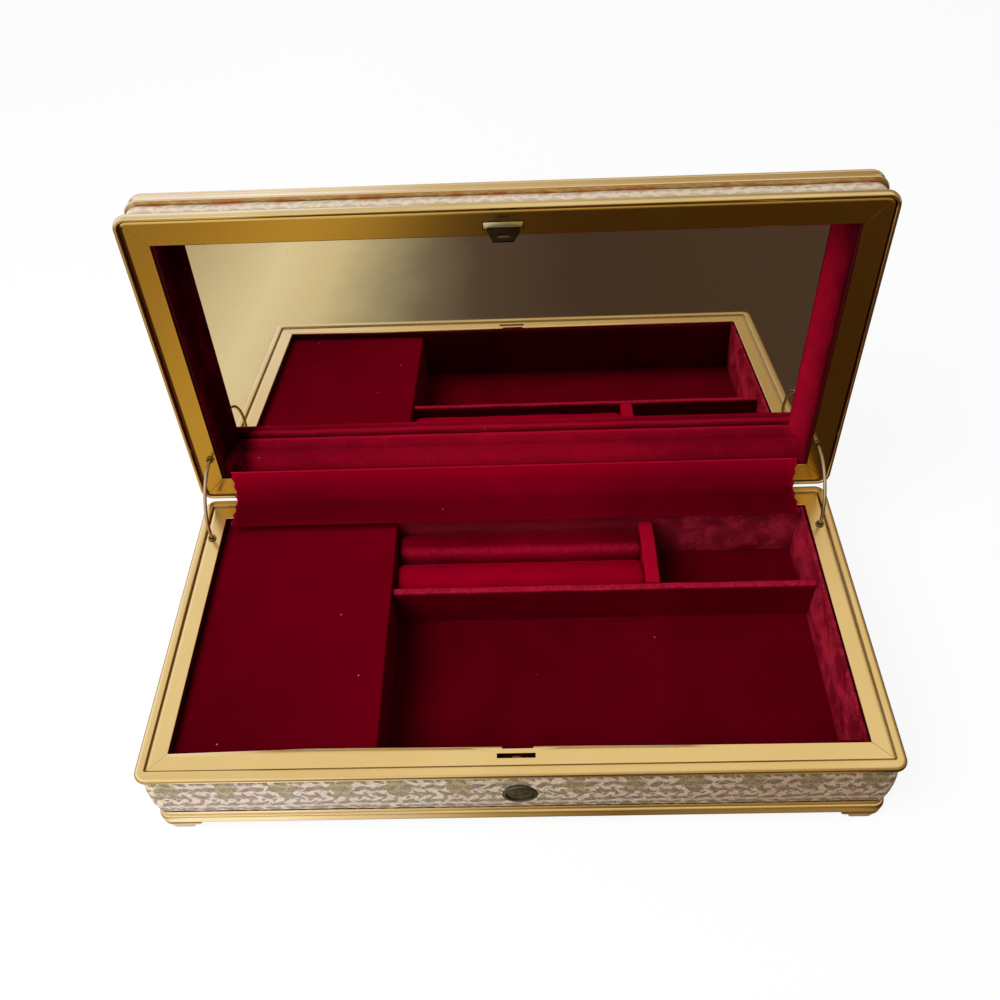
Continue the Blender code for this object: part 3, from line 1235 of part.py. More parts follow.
def make_winding(body):
    """Winding arbor through the floor and the wing key under it."""
    hub_top = BOARD_Z - GAP
    hub_low = hub_top - KEY_HUB_H
    arbor_low = hub_low + 0.0008
    arbor = rod("winding_arbor", WIND_ARBOR_R, (BARREL_X, BARREL_Y, arbor_low),
                (BARREL_X, BARREL_Y, BARREL_TOP_Z + 0.0003))
    settle(arbor, body, STEEL)
    key = rod("winding_key", KEY_HUB_R, (BARREL_X, BARREL_Y, hub_low), (BARREL_X, BARREL_Y, hub_top))
    key_top = KEY_CLEARANCE + KEY_WING_H
    half = KEY_WING_W / 2
    round_r = KEY_WING_H / 2
    wing = circle(half - round_r, KEY_CLEARANCE + round_r, round_r, 8, -math.pi / 2, math.pi, False)
    wing += circle(-half + round_r, KEY_CLEARANCE + round_r, round_r, 8, math.pi / 2, math.pi, False)
    wings = plate("key_wings", [wing], KEY_WING_T, (BARREL_X, BARREL_Y, 0), (1, 0, 0), (0, 0, 1))
    boolean(key, as_cutter(wings, body), "UNION")
    bore = rod("key_bore", WIND_ARBOR_R + GAP, (BARREL_X, BARREL_Y, arbor_low - GAP),
               (BARREL_X, BARREL_Y, max(hub_top, key_top) + GAP))
    boolean(key, as_cutter(bore, body), "DIFFERENCE")
    settle(key, body, BRASS)


def make_screws(body):
    """Two screws that hold the movement to the floor board from below."""
    for name, (x, y) in zip(("movement_screw_left", "movement_screw_right"), SCREW_PLACES):
        top = BED_TOP_Z - BOARD_Z
        outline = [(0, top), (SCREW_R, top), (SCREW_R, -GAP), (SCREW_HEAD_R, -GAP),
                   (SCREW_HEAD_R, -GAP - 0.5 * SCREW_HEAD_H), (0.6 * SCREW_HEAD_R, -GAP - SCREW_HEAD_H),
                   (0, -GAP - SCREW_HEAD_H)]
        settle(turned(name, outline, (x, y, BOARD_Z), (0, 0, 1), SMALL_STEPS), body, STEEL)


# Whole box

def rear_reach():
    """How far behind the opening's centre the open lid reaches."""
    angle = math.radians(LID_OPEN_DEG)
    outline = top_frame_section() + [(TOP_FRAME_LIP_IN - GAP - inward, PANEL_H + PANEL_CROWN * share)
                                     for inward, share in PANEL_RISE]
    reach = []
    for m, height in outline:
        across = -HALF_D - m - AXIS_Y
        rise = LID_Z + height - AXIS_Z
        reach.append(AXIS_Y + across * math.cos(angle) + rise * math.sin(angle))
    return max(reach)


clear_scene()
PARTS = make_collection("musical_jewelry_box")
CUTTERS = make_collection("cutters")
SIDES = (-1, 1)
SIDE_NAMES = {-1: "left", 1: "right"}
SCREW_PLACES = ((BARREL_X, BARREL_Y - 0.019), (DRUM_X + DRUM_L + 0.004, BARREL_Y + 0.019))

box = empty_at("box_frame", (0, 0, 0))
lid_axis = empty_at("lid_axis", (0, AXIS_Y, AXIS_Z), box)
stay_axes = {side: empty_at(f"stay_axis_{SIDE_NAMES[side]}", (0, AXIS_Y, AXIS_Z), box) for side in SIDES}
button_axis = empty_at("button_axis", (BUTTON_X, -HALF_D - BUTTON_OUT, BUTTON_Z), box)
winding_axis = empty_at("winding_axis", (BARREL_X, BARREL_Y, BARREL_Z), box)
barrel_axis = empty_at("barrel_axis", (BARREL_X, BARREL_Y, BARREL_Z), box)
drum_axis = empty_at("drum_axis", (DRUM_X, DRUM_Y, DRUM_Z), box)
fan_axis = empty_at("fan_axis", (FAN_X, FAN_Y, BED_TOP_Z), box)
stop_axis = empty_at("stop_axis", (*stop_post(), stop_level()), box)

make_base_shell(box)
make_feet(box)
make_latch(box, button_axis)
make_trays(box)
make_hinge(box, lid_axis)
make_lid(lid_axis)
make_lid_catch(lid_axis)
for stay_side in SIDES:
    side_name = SIDE_NAMES[stay_side]
    make_stay(f"stay_{side_name}", stay_side, stay_axes[stay_side])
    make_eyelet(f"stay_eyelet_base_{side_name}", stay_side, 1, FLANGE_Z, box)
    make_eyelet(f"stay_eyelet_lid_{side_name}", stay_side, -1, LID_Z, lid_axis)
make_bedplate(box)
make_comb(box)
make_barrel(barrel_axis)
make_drum(drum_axis)
make_governor(box, fan_axis)
make_stop_lever(stop_axis)
make_winding(winding_axis)
make_screws(box)

# The origin is under the middle of the whole open box, and the lid opens about its pin
front_reach = HALF_D + RAIL_BEAD_OUT
box.location = (0, (front_reach - rear_reach()) / 2, 0)
lid_axis.rotation_euler = (-math.radians(LID_OPEN_DEG), 0, 0)
bpy.context.view_layer.update()
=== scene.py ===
"""Looks of a musical jewelry box: gilt frames, brocade, burgundy velvet, a mirror lid and a hidden movement.

Lengths are metres in the row frame: +X to the right, +Y to the rear, +Z up, with the feet on z = 0. A frame's
profile is given by offsets outwards from the edge of the rectangular opening and heights above its flange plane.
"""
from __future__ import annotations

import logging
import math
from dataclasses import dataclass
from enum import Enum

import bmesh
import bpy
import numpy as np
from mathutils import Matrix, Vector

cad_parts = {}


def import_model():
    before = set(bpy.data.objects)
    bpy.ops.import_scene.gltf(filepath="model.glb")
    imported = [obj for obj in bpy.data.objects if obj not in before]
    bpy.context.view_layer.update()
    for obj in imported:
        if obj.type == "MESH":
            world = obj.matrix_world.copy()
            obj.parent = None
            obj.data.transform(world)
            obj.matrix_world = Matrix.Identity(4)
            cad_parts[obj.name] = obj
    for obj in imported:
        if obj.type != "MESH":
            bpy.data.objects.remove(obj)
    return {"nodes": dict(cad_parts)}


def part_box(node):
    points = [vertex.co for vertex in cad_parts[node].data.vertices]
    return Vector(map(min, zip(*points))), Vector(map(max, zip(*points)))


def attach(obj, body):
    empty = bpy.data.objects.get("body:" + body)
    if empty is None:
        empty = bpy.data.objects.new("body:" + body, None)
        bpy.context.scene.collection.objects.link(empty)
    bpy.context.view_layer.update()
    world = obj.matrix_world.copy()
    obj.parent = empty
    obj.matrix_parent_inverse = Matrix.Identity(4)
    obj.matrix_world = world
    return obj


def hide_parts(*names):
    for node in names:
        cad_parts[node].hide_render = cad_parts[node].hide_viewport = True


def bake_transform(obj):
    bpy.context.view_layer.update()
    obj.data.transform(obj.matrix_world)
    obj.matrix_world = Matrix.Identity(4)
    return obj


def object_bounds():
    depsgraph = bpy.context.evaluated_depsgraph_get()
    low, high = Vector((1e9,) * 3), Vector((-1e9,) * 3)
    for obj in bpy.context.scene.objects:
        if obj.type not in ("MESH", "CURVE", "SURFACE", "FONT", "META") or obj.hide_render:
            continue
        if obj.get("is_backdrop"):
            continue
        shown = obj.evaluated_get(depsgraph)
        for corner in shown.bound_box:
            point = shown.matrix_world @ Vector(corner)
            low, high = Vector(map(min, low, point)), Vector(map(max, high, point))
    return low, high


# Short names for numpy's and Blender's types
Array, Piece, Material = np.ndarray, bpy.types.Object, bpy.types.Material
Node, NodeTree, Socket = bpy.types.Node, bpy.types.NodeTree, bpy.types.NodeSocket

LOG = logging.getLogger("jewelry_box")
MM = 0.001

# Main sizes in millimetres: half the opening, the base flange's height and thickness, how far the rims stand out, the
# hinge pin's place, where the stays pass the flanges, the offset at which a frame's corners start to round, and the
# places of the latch and its push button
HALF_W, HALF_D = 133.0, 59.0
FLANGE_H, FLANGE_T = 44.0, 1.0
RIM_OUT = 11.4
PIN_Y, PIN_H = HALF_D + RIM_OUT, 45.05
STAY_M = 4.2
BEND = 6.4
LATCH_X = 0.6
BUTTON_X, BUTTON_H = 1.1, 27.5

# Degrees over which an edge stays sharp, on metal and on cloth; steps in a frame's corner; sine waves in a ripple
SHARP, CLOTH_SHARP = 40.0, 80.0
CORNER_STEPS = 12
WAVES = 7

ACROSS, OUTWARD = np.array([1.0, 0.0, 0.0]), np.array([0.0, -1.0, 0.0])


class Side(Enum):
    """Left or right half of the box, with its sign along X."""

    LEFT = -1
    RIGHT = 1


class Shell(Enum):
    """The two halves of the box, named for the bodies that they ride on."""

    BASE = "base"
    LID = "lid"


# Geometry shared by every piece

@dataclass(frozen=True)
class BoxSizes:
    """Main sizes of the box, with the place of its hinge."""

    half_w: float = HALF_W * MM
    half_d: float = HALF_D * MM
    flange_z: float = FLANGE_H * MM
    lid_plane_z: float = 46.1 * MM
    axis_z: float = PIN_H * MM
    rim_out: float = RIM_OUT * MM
    open_angle: float = math.radians(95.65)

    @property
    def centre_y(self) -> float:
        """Middle of the opening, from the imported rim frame."""
        low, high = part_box("base_rim_frame")
        return (low.y + high.y) / 2

    @property
    def axis_y(self) -> float:
        """Distance of the hinge pin behind the opening's centre."""
        return self.half_d + self.rim_out

    def base_points(self, points: Array) -> Array:
        """Move points of the base from the opening's centre into the row frame.

        Args:
            points: Array of shape (..., 3): x, y from the opening's centre, height above the table.

        Returns:
            The same points in the row frame.
        """
        return points + np.array([0.0, self.centre_y, 0.0])

    def lid_points(self, points: Array) -> Array:
        """Turn points of the closed lid into the open lid of the row frame.

        A point turns about the pin by the open angle: y' = y cos a + z sin a, z' = z cos a - y sin a.

        Args:
            points: Array of shape (..., 3): x, y from the opening's centre, height above the lid's flange plane.

        Returns:
            The points in the row frame with the lid open.
        """
        across = points[..., 1] - self.axis_y
        rise = points[..., 2] + self.lid_plane_z - self.axis_z
        cos_a, sin_a = math.cos(self.open_angle), math.sin(self.open_angle)
        turned = np.empty_like(points)
        turned[..., 0] = points[..., 0]
        turned[..., 1] = self.axis_y + across * cos_a + rise * sin_a + self.centre_y
        turned[..., 2] = self.axis_z - across * sin_a + rise * cos_a
        return turned

    def place(self, shell: Shell, points: Array) -> Array:
        """Put points of either shell in the row frame; base heights count from the base's flange plane."""
        if shell is Shell.LID:
            return self.lid_points(points)
        return self.base_points(points + np.array([0.0, 0.0, self.flange_z]))


BOX = BoxSizes()


def ripple(u: Array, v: Array, seed: int, wavelength: float) -> Array:
    """A smooth uneven field between about -1 and 1: a sum of sine waves of random direction and phase.

    Args:
        u: First coordinate in metres.
        v: Second coordinate in metres.
        seed: Seed of the random numbers.
        wavelength: Typical wavelength in metres.

    Returns:
        The field at each point.
    """
    rng = np.random.default_rng(seed)
    total = np.zeros(np.broadcast(u, v).shape)
    for _ in range(WAVES):
        angle, phase = rng.uniform(0, 2 * math.pi, 2)
        rate = 2 * math.pi / (wavelength * rng.uniform(0.6, 1.6))
        total += np.sin(rate * (u * math.cos(angle) + v * math.sin(angle)) + phase)
    return total / math.sqrt(WAVES)


def mesh_piece(name: str, vertices: Array, faces: list, sharp: float, loop_uv: Array | None = None) -> Piece:
    """Make a linked object from arrays, shaded smooth with its real edges sharp.

    Args:
        name: Name of the piece.
        vertices: Array of shape (n, 3) in the row frame.
        faces: Lists of vertex indices.
        sharp: Angle in degrees over which an edge stays sharp.
        loop_uv: Array of shape (loops, 2) in metres, in the order of the faces' corners.

    Returns:
        The new object, at the origin.
    """
    mesh = bpy.data.meshes.new(name)
    mesh.from_pydata(np.asarray(vertices, float).tolist(), [], faces)
    if loop_uv is not None:
        layer = mesh.uv_layers.new(name="cloth")
        layer.data.foreach_set("uv", np.asarray(loop_uv, np.float32).ravel())
    mesh.shade_smooth()
    mesh.set_sharp_from_angle(angle=math.radians(sharp))
    mesh.update()
    obj = bpy.data.objects.new(name, mesh)
    bpy.context.scene.collection.objects.link(obj)
    return obj


def surface(name: str, points: Array, wrap_rows: bool = False, wrap_columns: bool = False,
            uv: Array | None = None, cap_rows: bool = False, flip: bool = False,
            sharp: float = SHARP) -> Piece:
    """Skin a grid of points: quads between neighbouring rows and columns, with optional end caps.

    Args:
        name: Name of the piece.
        points: Array of shape (rows, columns, 3).
        wrap_rows: Whether the last row joins the first.
        wrap_columns: Whether the last column joins the first.
        uv: Array of shape (rows + wrap_rows, columns + wrap_columns, 2), in metres.
        cap_rows: Whether the first and last rows are closed with a flat face.
        flip: Whether the faces between rows turn the other way.
        sharp: Angle in degrees over which an edge stays sharp.

    Returns:
        The new object.
    """
    rows, columns = points.shape[:2]
    row = np.arange(rows if wrap_rows else rows - 1)
    column = np.arange(columns if wrap_columns else columns - 1)
    r0, c0 = (a.ravel() for a in np.meshgrid(row, column, indexing="ij"))
    r = np.stack([r0, r0, r0 + 1, r0 + 1], 1)
    c = np.stack([c0, c0 + 1, c0 + 1, c0], 1)
    if flip:
        r, c = r[:, ::-1], c[:, ::-1]
    faces = ((r % rows) * columns + c % columns).tolist()
    loop_uv = None
    if uv is not None:
        loop_uv = uv[r, c].reshape(-1, 2)
    if cap_rows:
        first = list(range(columns))
        last = [(rows - 1) * columns + i for i in range(columns)]
        faces += [first[::-1], last]
        if uv is not None:
            loop_uv = np.concatenate([loop_uv, uv[0, :columns][::-1], uv[-1, :columns]])
    return mesh_piece(name, points.reshape(-1, 3), faces, sharp, loop_uv)


def skin(name: str, points: Array, uv: Array | None = None, sharp: float = SHARP) -> Piece:
    """A closed surface: its columns go all the way round and its first and last rows are capped."""
    return surface(name, points, wrap_columns=True, uv=uv, cap_rows=True, sharp=sharp)


def rect_loops(x0: Array, x1: Array, y0: Array, y1: Array, radius: Array, corner_steps: int, side_steps: int) -> Array:
    """Rounded rectangles as rows of points, counter-clockwise from the middle of the rear side.

    Each corner is an arc, centre + radius (cos a, sin a), and each side is split evenly.

    Args:
        x0: Left edge of each rectangle.
        x1: Right edge.
        y0: Front edge.
        y1: Rear edge.
        radius: Corner radius.
        corner_steps: Steps in each corner's arc.
        side_steps: Points inside each side; an odd number, so that one is in its middle.

    Returns:
        Array of shape (rectangles, points, 2).
    """
    sizes = (np.atleast_1d(np.asarray(size, float)) for size in (x0, x1, y0, y1, radius))
    x0, x1, y0, y1, radius = np.broadcast_arrays(*sizes)
    turn = np.linspace(0, math.pi / 2, corner_steps + 1)
    arcs = []
    for cx, cy, start in ((x0 + radius, y1 - radius, 0.5), (x0 + radius, y0 + radius, 1.0),
                          (x1 - radius, y0 + radius, 1.5), (x1 - radius, y1 - radius, 0.0)):
        angle = math.pi * start + turn
        arcs.append(np.stack([cx[:, None] + radius[:, None] * np.cos(angle),
                              cy[:, None] + radius[:, None] * np.sin(angle)], -1))
    share = (np.arange(1, side_steps + 1) / (side_steps + 1))[None, :, None]
    parts = []
    for here, after in zip(arcs, arcs[1:] + arcs[:1]):
        parts += [here, here[:, -1:] * (1 - share) + after[:, :1] * share]
    loops = np.concatenate(parts, 1)
    return np.roll(loops, side_steps // 2 + 1, axis=1)


def lengths_along(points: Array, closed: bool) -> Array:
    """Distance travelled along a row of points, with a last entry for the closing step if closed."""
    if closed:
        points = np.concatenate([points, points[:1]])
    steps = np.linalg.norm(np.diff(points, axis=0), axis=1)
    return np.concatenate([[0.0], np.cumsum(steps)])


def corner_radius(m: Array) -> Array:
    """Corner radius of a frame at an offset: near square inside, 5 mm at the rim's outer edge."""
    return np.maximum(0.4 * MM, m - BEND * MM)


def mark(obj: Piece, label: str, values: Array) -> None:
    """Keep one number for each point of a mesh, for its material to read."""
    layer = obj.data.attributes.new(label, "FLOAT", "POINT")
    layer.data.foreach_set("value", np.asarray(values, np.float32).ravel())


def frame_sweep(name: str, profile: list, shell: Shell, side_steps: int = 1, swell: float = 0.0, seed: int = 1,
                sharp: float = SHARP, widen: float = 0.0, bow: tuple = ()) -> Piece:
    """Carry a closed profile round the opening as a mitred frame or a padded band.

    A profile point (m, h) becomes a rounded rectangle at offset m and height h. The swell moves it in and out by a
    ripple, for cloth.

    Args:
        name: Name of the piece.
        profile: (offset, height) pairs in millimetres, once round the section.
        shell: Base or lid.
        side_steps: Points inside each side.
        swell: Depth of the ripple in millimetres.
        seed: Seed of the ripple.
        sharp: Angle in degrees over which an edge stays sharp.
        widen: How far the left and right sides stand out further, in millimetres.
        bow: (x, inset) pairs in millimetres: how far the flange's front edge stands in along its length.

    Returns:
        The frame, with a cloth UV in metres.
    """
    section = np.array(profile, float) * MM
    m, h = section[:, 0], section[:, 1]
    wide = BOX.half_w + m + widen * MM
    loops = rect_loops(-wide, wide, -BOX.half_d - m, BOX.half_d + m, corner_radius(m), CORNER_STEPS,
                       side_steps)
    if bow:
        inset = np.interp(loops[..., 0] / MM, *zip(*bow)) * MM * np.clip(1 - m / (1.5 * MM), 0, 1)[:, None]
        loops[..., 1] += np.where(loops[..., 1] < 0, inset, 0)
    along = lengths_along(loops[np.argmax(m)], True)
    across = lengths_along(section, True)
    if swell:
        share = np.clip((m - m.min()) / (m.max() - m.min()), 0, 1)[:, None]
        amount = swell * MM * share * ripple(along[None, :-1], across[:-1, None], seed, 24 * MM)
        outward = loops / np.linalg.norm(loops, axis=-1, keepdims=True)
        side = np.where(np.abs(loops) > np.array([BOX.half_w, BOX.half_d]), np.sign(loops), 0.0)
        length = np.linalg.norm(side, axis=-1, keepdims=True)
        side = np.where(length > 0, side / np.maximum(length, 1), outward)
        loops = loops + side * amount[..., None]
    heights = np.broadcast_to(h[:, None, None], (*loops.shape[:2], 1))
    points = BOX.place(shell, np.concatenate([loops, heights], -1))
    v, u = np.meshgrid(across, along, indexing="ij")
    up = shell is Shell.BASE
    return surface(name, points, True, True, np.stack([u, v], -1), flip=not up, sharp=sharp)


def mark_rim(piece: Piece, shell: Shell, groove: float, widen: float, faint_sides: float,
             broad_left: float, tight: float) -> None:
    """Mark a rim's mitre lines and its groove by each point's offset from the opening.

    The offset is the larger of the distances outside the opening's sides, or the distance from the corner's centre.

    Args:
        piece: The rim, after its cuts.
        shell: Base or lid.
        groove: Offset of the groove in millimetres.
        widen: The rim's own widening in millimetres.
        faint_sides: How much the groove's line is held back on the left and right, in millimetres.
        broad_left: How far the line reaches inwards on the left, in millimetres.
        tight: How many times narrower the line is on the other sides.
    """
    points = np.empty(len(piece.data.vertices) * 3, np.float32)
    piece.data.vertices.foreach_get("co", points)
    points = points.reshape(-1, 3).astype(float)
    middle = BOX.place(shell, np.zeros(3))
    ahead = (BOX.place(shell, np.array([0.0, MM, 0.0])) - middle) / MM
    side = np.abs(points[:, 0]) - BOX.half_w - widen * MM
    front = np.abs((points - middle) @ ahead) - BOX.half_d
    bend = BEND * MM
    m = np.where(np.minimum(side, front) > bend, bend + np.hypot(side - bend, front - bend), np.maximum(side, front))
    gap = m - groove * MM
    mark(piece, "mitre", np.where(gap < 0.05 * MM, side - front, 1.0))
    left = (points[:, 0] < 0) & (side > front)
    gap = np.where(left, gap + broad_left * MM, np.where(gap > 0, gap * tight, gap))
    mark(piece, "groove", np.where(side > front, np.sign(gap) * np.hypot(gap, faint_sides * MM), gap))


def arc(centre: tuple, radii: tuple, degrees: tuple, steps: int) -> list:
    """Points on part of an ellipse: centre + (radius cos a, radius sin a)."""
    angle = np.radians(np.linspace(degrees[0], degrees[1], steps + 1))
    return list(zip(centre[0] + radii[0] * np.cos(angle), centre[1] + radii[1] * np.sin(angle)))


def rounded_section(width: float, height: float, radius: float, steps: int) -> Array:
    """A closed upright section, counter-clockwise, with round corners at its top and all but square ones at its foot.

    Args:
        width: Width across, in millimetres.
        height: Height up from zero.
        radius: Radius of the top's corners.
        steps: Steps in each of them.

    Returns:
        Array of shape (points, 2).
    """
    half = width / 2
    radius = min(radius, half * 0.98)
    foot = 0.2 * MM
    corners = arc((half - foot, foot), (foot, foot), (-90, 0), 2)
    corners += arc((half - radius, height - radius), (radius, radius), (0, 90), steps)
    corners += arc((-half + radius, height - radius), (radius, radius), (90, 180), steps)
    corners += arc((-half + foot, foot), (foot, foot), (180, 270), 2)
    return np.array(corners)


def lathe(name: str, outline: list, centre: Array, axis: Array, across: Array, steps: int = 48) -> Piece:
    """Turn an outline about an axis: point = centre + axis h + radius (across cos a + third sin a).

    Args:
        name: Name of the piece.
        outline: (radius, height) pairs in millimetres, closed round the section or from pole to pole.
        centre: Centre in the row frame.
        axis: Direction of the height.
        across: A direction square to the axis.
        steps: Steps round.

    Returns:
        The turned piece.
    """
    outline = np.array(outline, float) * MM
    angle = np.linspace(0, 2 * math.pi, steps, endpoint=False)
    third = np.cross(axis, across)
    ring = np.cos(angle)[:, None] * across + np.sin(angle)[:, None] * third
    points = centre + outline[:, None, 1:2] * axis + outline[:, None, 0:1] * ring[None]
    hollow = outline[0, 0] > 1e-6 and outline[-1, 0] > 1e-6
    piece = surface(name, points, hollow, True)
    tidy_mesh(piece)
    return piece


def tidy_mesh(obj: Piece) -> None:
    """Merge doubled points of a closed piece and turn its faces outwards."""
    work = bmesh.new()
    work.from_mesh(obj.data)
    bmesh.ops.remove_doubles(work, verts=work.verts, dist=1e-7)
    bmesh.ops.dissolve_degenerate(work, edges=work.edges, dist=1e-8)
    bmesh.ops.recalc_face_normals(work, faces=work.faces)
    work.to_mesh(obj.data)
    work.free()


def tube(path: Array, radii: Array, name: str, side: Array, steps: int) -> Piece:
    """A round wire whose thickness changes along it.

    The ring at each point lies in the plane of side and the path's normal: p + r (side cos a + normal sin a).

    Args:
        path: Points of the centre line.
        radii: Radius at each point.
        name: Name of the piece.
        side: A unit direction square to the whole path.
        steps: Steps round the wire.

    Returns:
        The wire, closed at both ends.
    """
    tangent = np.gradient(path, axis=0)
    tangent /= np.linalg.norm(tangent, axis=1, keepdims=True)
    normal = np.cross(tangent, side)
    angle = np.linspace(0, 2 * math.pi, steps, endpoint=False)
    ring = np.cos(angle)[None, :, None] * side + np.sin(angle)[None, :, None] * normal[:, None]
    points = path[:, None] + radii[:, None, None] * ring
    piece = skin(name, points)
    tidy_mesh(piece)
    return piece


def box_points(low: tuple, high: tuple) -> Array:
    """The eight corners of a box as two rows of four."""
    (x0, y0, z0), (x1, y1, z1) = low, high
    ring = [(x0, y0), (x1, y0), (x1, y1), (x0, y1)]
    return np.array([[(x, y, z) for x, y in ring] for z in (z0, z1)], float)


def keep_modifiers(obj: Piece) -> None:
    """Make what the modifiers give the object's own mesh, and remove them."""
    bpy.context.view_layer.update()
    evaluated = obj.evaluated_get(bpy.context.evaluated_depsgraph_get())
    mesh = bpy.data.meshes.new_from_object(evaluated)
    obj.modifiers.clear()
    obj.data = mesh


def cut(obj: Piece, *tools: Piece) -> None:
    """Cut a piece by closed tools, keep the result as its mesh and remove the tools."""
    for tool in tools:
        tidy_mesh(tool)
        modifier = obj.modifiers.new(tool.name, "BOOLEAN")
        modifier.operation = "DIFFERENCE"
        modifier.solver = "EXACT"
        modifier.object = tool
    keep_modifiers(obj)
    obj.data.set_sharp_from_angle(angle=math.radians(SHARP))
    for tool in tools:
        bpy.data.objects.remove(tool, do_unlink=True)


def cutter_box(name: str, shell: Shell, low: tuple, high: tuple) -> Piece:
    """A box tool in a shell's own coordinates, in millimetres from the opening's centre and flange plane."""
    return skin(name, BOX.place(shell, box_points(low, high) * MM))


def cutter_rod(name: str, shell: Shell, x: float, y: float, radius: float, reach: float) -> Piece:
    """An upright round tool through a flange.

    Args:
        name: Name of the tool.
        shell: Base or lid.
        x: Place across, in millimetres from the opening's centre.
        y: Place in depth.
        radius: Its radius.
        reach: How far it stands out above and below the flange.

    Returns:
        The tool.
    """
    angle = np.linspace(0, 2 * math.pi, 32, endpoint=False)
    ring = np.stack([x + radius * np.cos(angle), y + radius * np.sin(angle)], -1)
    rows = [np.concatenate([ring, np.full((32, 1), h)], 1) for h in (-reach, reach)]
    return skin(name, BOX.place(shell, np.array(rows) * MM))


def stand_in(piece: Piece, finish: object, body: str, node: str) -> None:
    """Dress a piece and let it ride on a body in place of a CAD node, which is hidden.

    Args:
        piece: Made object.
        finish: Its finish.
        body: Name of the body that carries it.
        node: Name of the CAD node that it stands for.
    """
    Library.dress(piece, finish)
    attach(piece, body)
    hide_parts(node)


# Shader building

class Graph:
    """Short ways to add and join the nodes of one tree."""

    def __init__(self, tree: NodeTree) -> None:
        """Keep the tree that nodes are added to."""
        self.tree = tree

    def node(self, kind: str, **settings: object) -> Node:
        """Add a node of a kind and set its properties."""
        made = self.tree.nodes.new("ShaderNode" + kind)
        for key, value in settings.items():
            setattr(made, key, value)
        return made

    def feed(self, socket: Socket, value: object) -> None:
        """Link a socket to an input, or set the input's constant."""
        if isinstance(value, Socket):
            self.tree.links.new(value, socket)
        else:
            socket.default_value = value

    def math(self, operation: str, a: object, b: object = None, c: object = None, clamp: bool = False) -> Socket:
        """One arithmetic step.

        Args:
            operation: Blender's name of the step.
            a: First number or socket.
            b: Second one, if the step has it.
            c: Third one, if the step has it.
            clamp: Whether the result is held between 0 and 1.

        Returns:
            The result's socket.
        """
        made = self.node("Math", operation=operation, use_clamp=clamp)
        for socket, value in zip(made.inputs, (a, b, c)):
            if value is not None:
                self.feed(socket, value)
        return made.outputs[0]

    def fill(self, node: Node, values: dict) -> Node:
        """Feed a node's inputs; a colour of three numbers gets its alpha.

        Args:
            node: Node to feed.
            values: Number, colour or socket for each input's name or index.

        Returns:
            The node.
        """
        for label, value in values.items():
            self.feed(node.inputs[label], (*value, 1) if isinstance(value, tuple) and len(value) == 3 else value)
        return node

    def place(self) -> Socket:
        """Where a point lies on its object."""
        return self.node("TexCoord").outputs["Object"]

    def plus(self, a: object, b: object, clamp: bool = False) -> Socket:
        """a + b."""
        return self.math("ADD", a, b, clamp=clamp)

    def minus(self, a: object, b: object) -> Socket:
        """a - b."""
        return self.math("SUBTRACT", a, b)

    def times(self, a: object, b: object, clamp: bool = False) -> Socket:
        """a b."""
        return self.math("MULTIPLY", a, b, clamp=clamp)

    def line(self, a: object, b: object, c: object, clamp: bool = False) -> Socket:
        """a b + c."""
        return self.math("MULTIPLY_ADD", a, b, c, clamp)

    def over(self, a: object, b: object) -> Socket:
        """a / b."""
        return self.math("DIVIDE", a, b)

    def larger(self, first: object, *others: object) -> Socket:
        """The largest of its numbers."""
        for other in others:
            first = self.math("MAXIMUM", first, other)
        return first

    def fract(self, a: object) -> Socket:
        """What a number has over the whole number below it."""
        return self.math("FRACT", a)

    def wave(self, operation: str, a: object, length: float) -> Socket:
        """A sine or cosine wave of a length."""
        return self.math(operation, self.times(a, 2 * math.pi / length))

    def abs(self, a: object) -> Socket:
        """A number without its sign."""
        return self.math("ABSOLUTE", a)

    def below(self, value: object, edge: float, soft: float) -> Socket:
        """A mask that is 1 below an edge and falls to 0 over a soft step.

        Args:
            value: Number that is tested.
            edge: Where the mask is one half.
            soft: Half the width of the step.

        Returns:
            The mask's socket.
        """
        made = self.node("MapRange", interpolation_type="SMOOTHSTEP")
        self.fill(made, {"Value": value, "From Min": edge - soft, "From Max": edge + soft, "To Min": 1.0,
                         "To Max": 0.0})
        return made.outputs["Result"]

    def mix(self, share: object, first: object, second: object) -> Socket:
        """Mix two colours: the first at a share of 0, the second at 1."""
        return self.fill(self.node("Mix", data_type="RGBA"), {0: share, 6: first, 7: second}).outputs[2]

    def noise(self, vector: object, scale: float, detail: float, rough: float, distortion: float = 0.0) -> Socket:
        """Soft noise between 0 and 1."""
        made = self.fill(self.node("TexNoise"), {"Vector": vector, "Scale": scale, "Detail": detail, "Roughness": rough,
                                                 "Distortion": distortion})
        return made.outputs["Fac"]

    def swing(self, *noise: object) -> Socket:
        """The same noise about zero."""
        return self.minus(self.noise(*noise), 0.5)

    def marks(self, node: Node, *labels: str) -> None:
        """Feed a node's inputs from the mesh's numbers of the same names."""
        for label in labels:
            self.feed(node.inputs[label], self.node("Attribute", attribute_name=label.lower()).outputs["Fac"])

    def finish(self, output: str, shader: Node) -> None:
        """Make a shader the tree's surface."""
        self.feed(self.tree.nodes[output].inputs["Surface"], shader.outputs[0])

    def split(self, vector: object) -> tuple:
        """The three numbers of a vector."""
        made = self.node("SeparateXYZ")
        self.feed(made.inputs[0], vector)
        return tuple(made.outputs)

    def ramp(self, value: object, stops: list) -> Socket:
        """A colour ramp through (place, colour) stops."""
        made = self.node("ValToRGB")
        self.feed(made.inputs[0], value)
        elements = made.color_ramp.elements
        while len(elements) < len(stops):
            elements.new(0.5)
        for element, (place, colour) in zip(elements, stops):
            element.position = place
            element.color = (*colour, 1.0)
        return made.outputs[0]


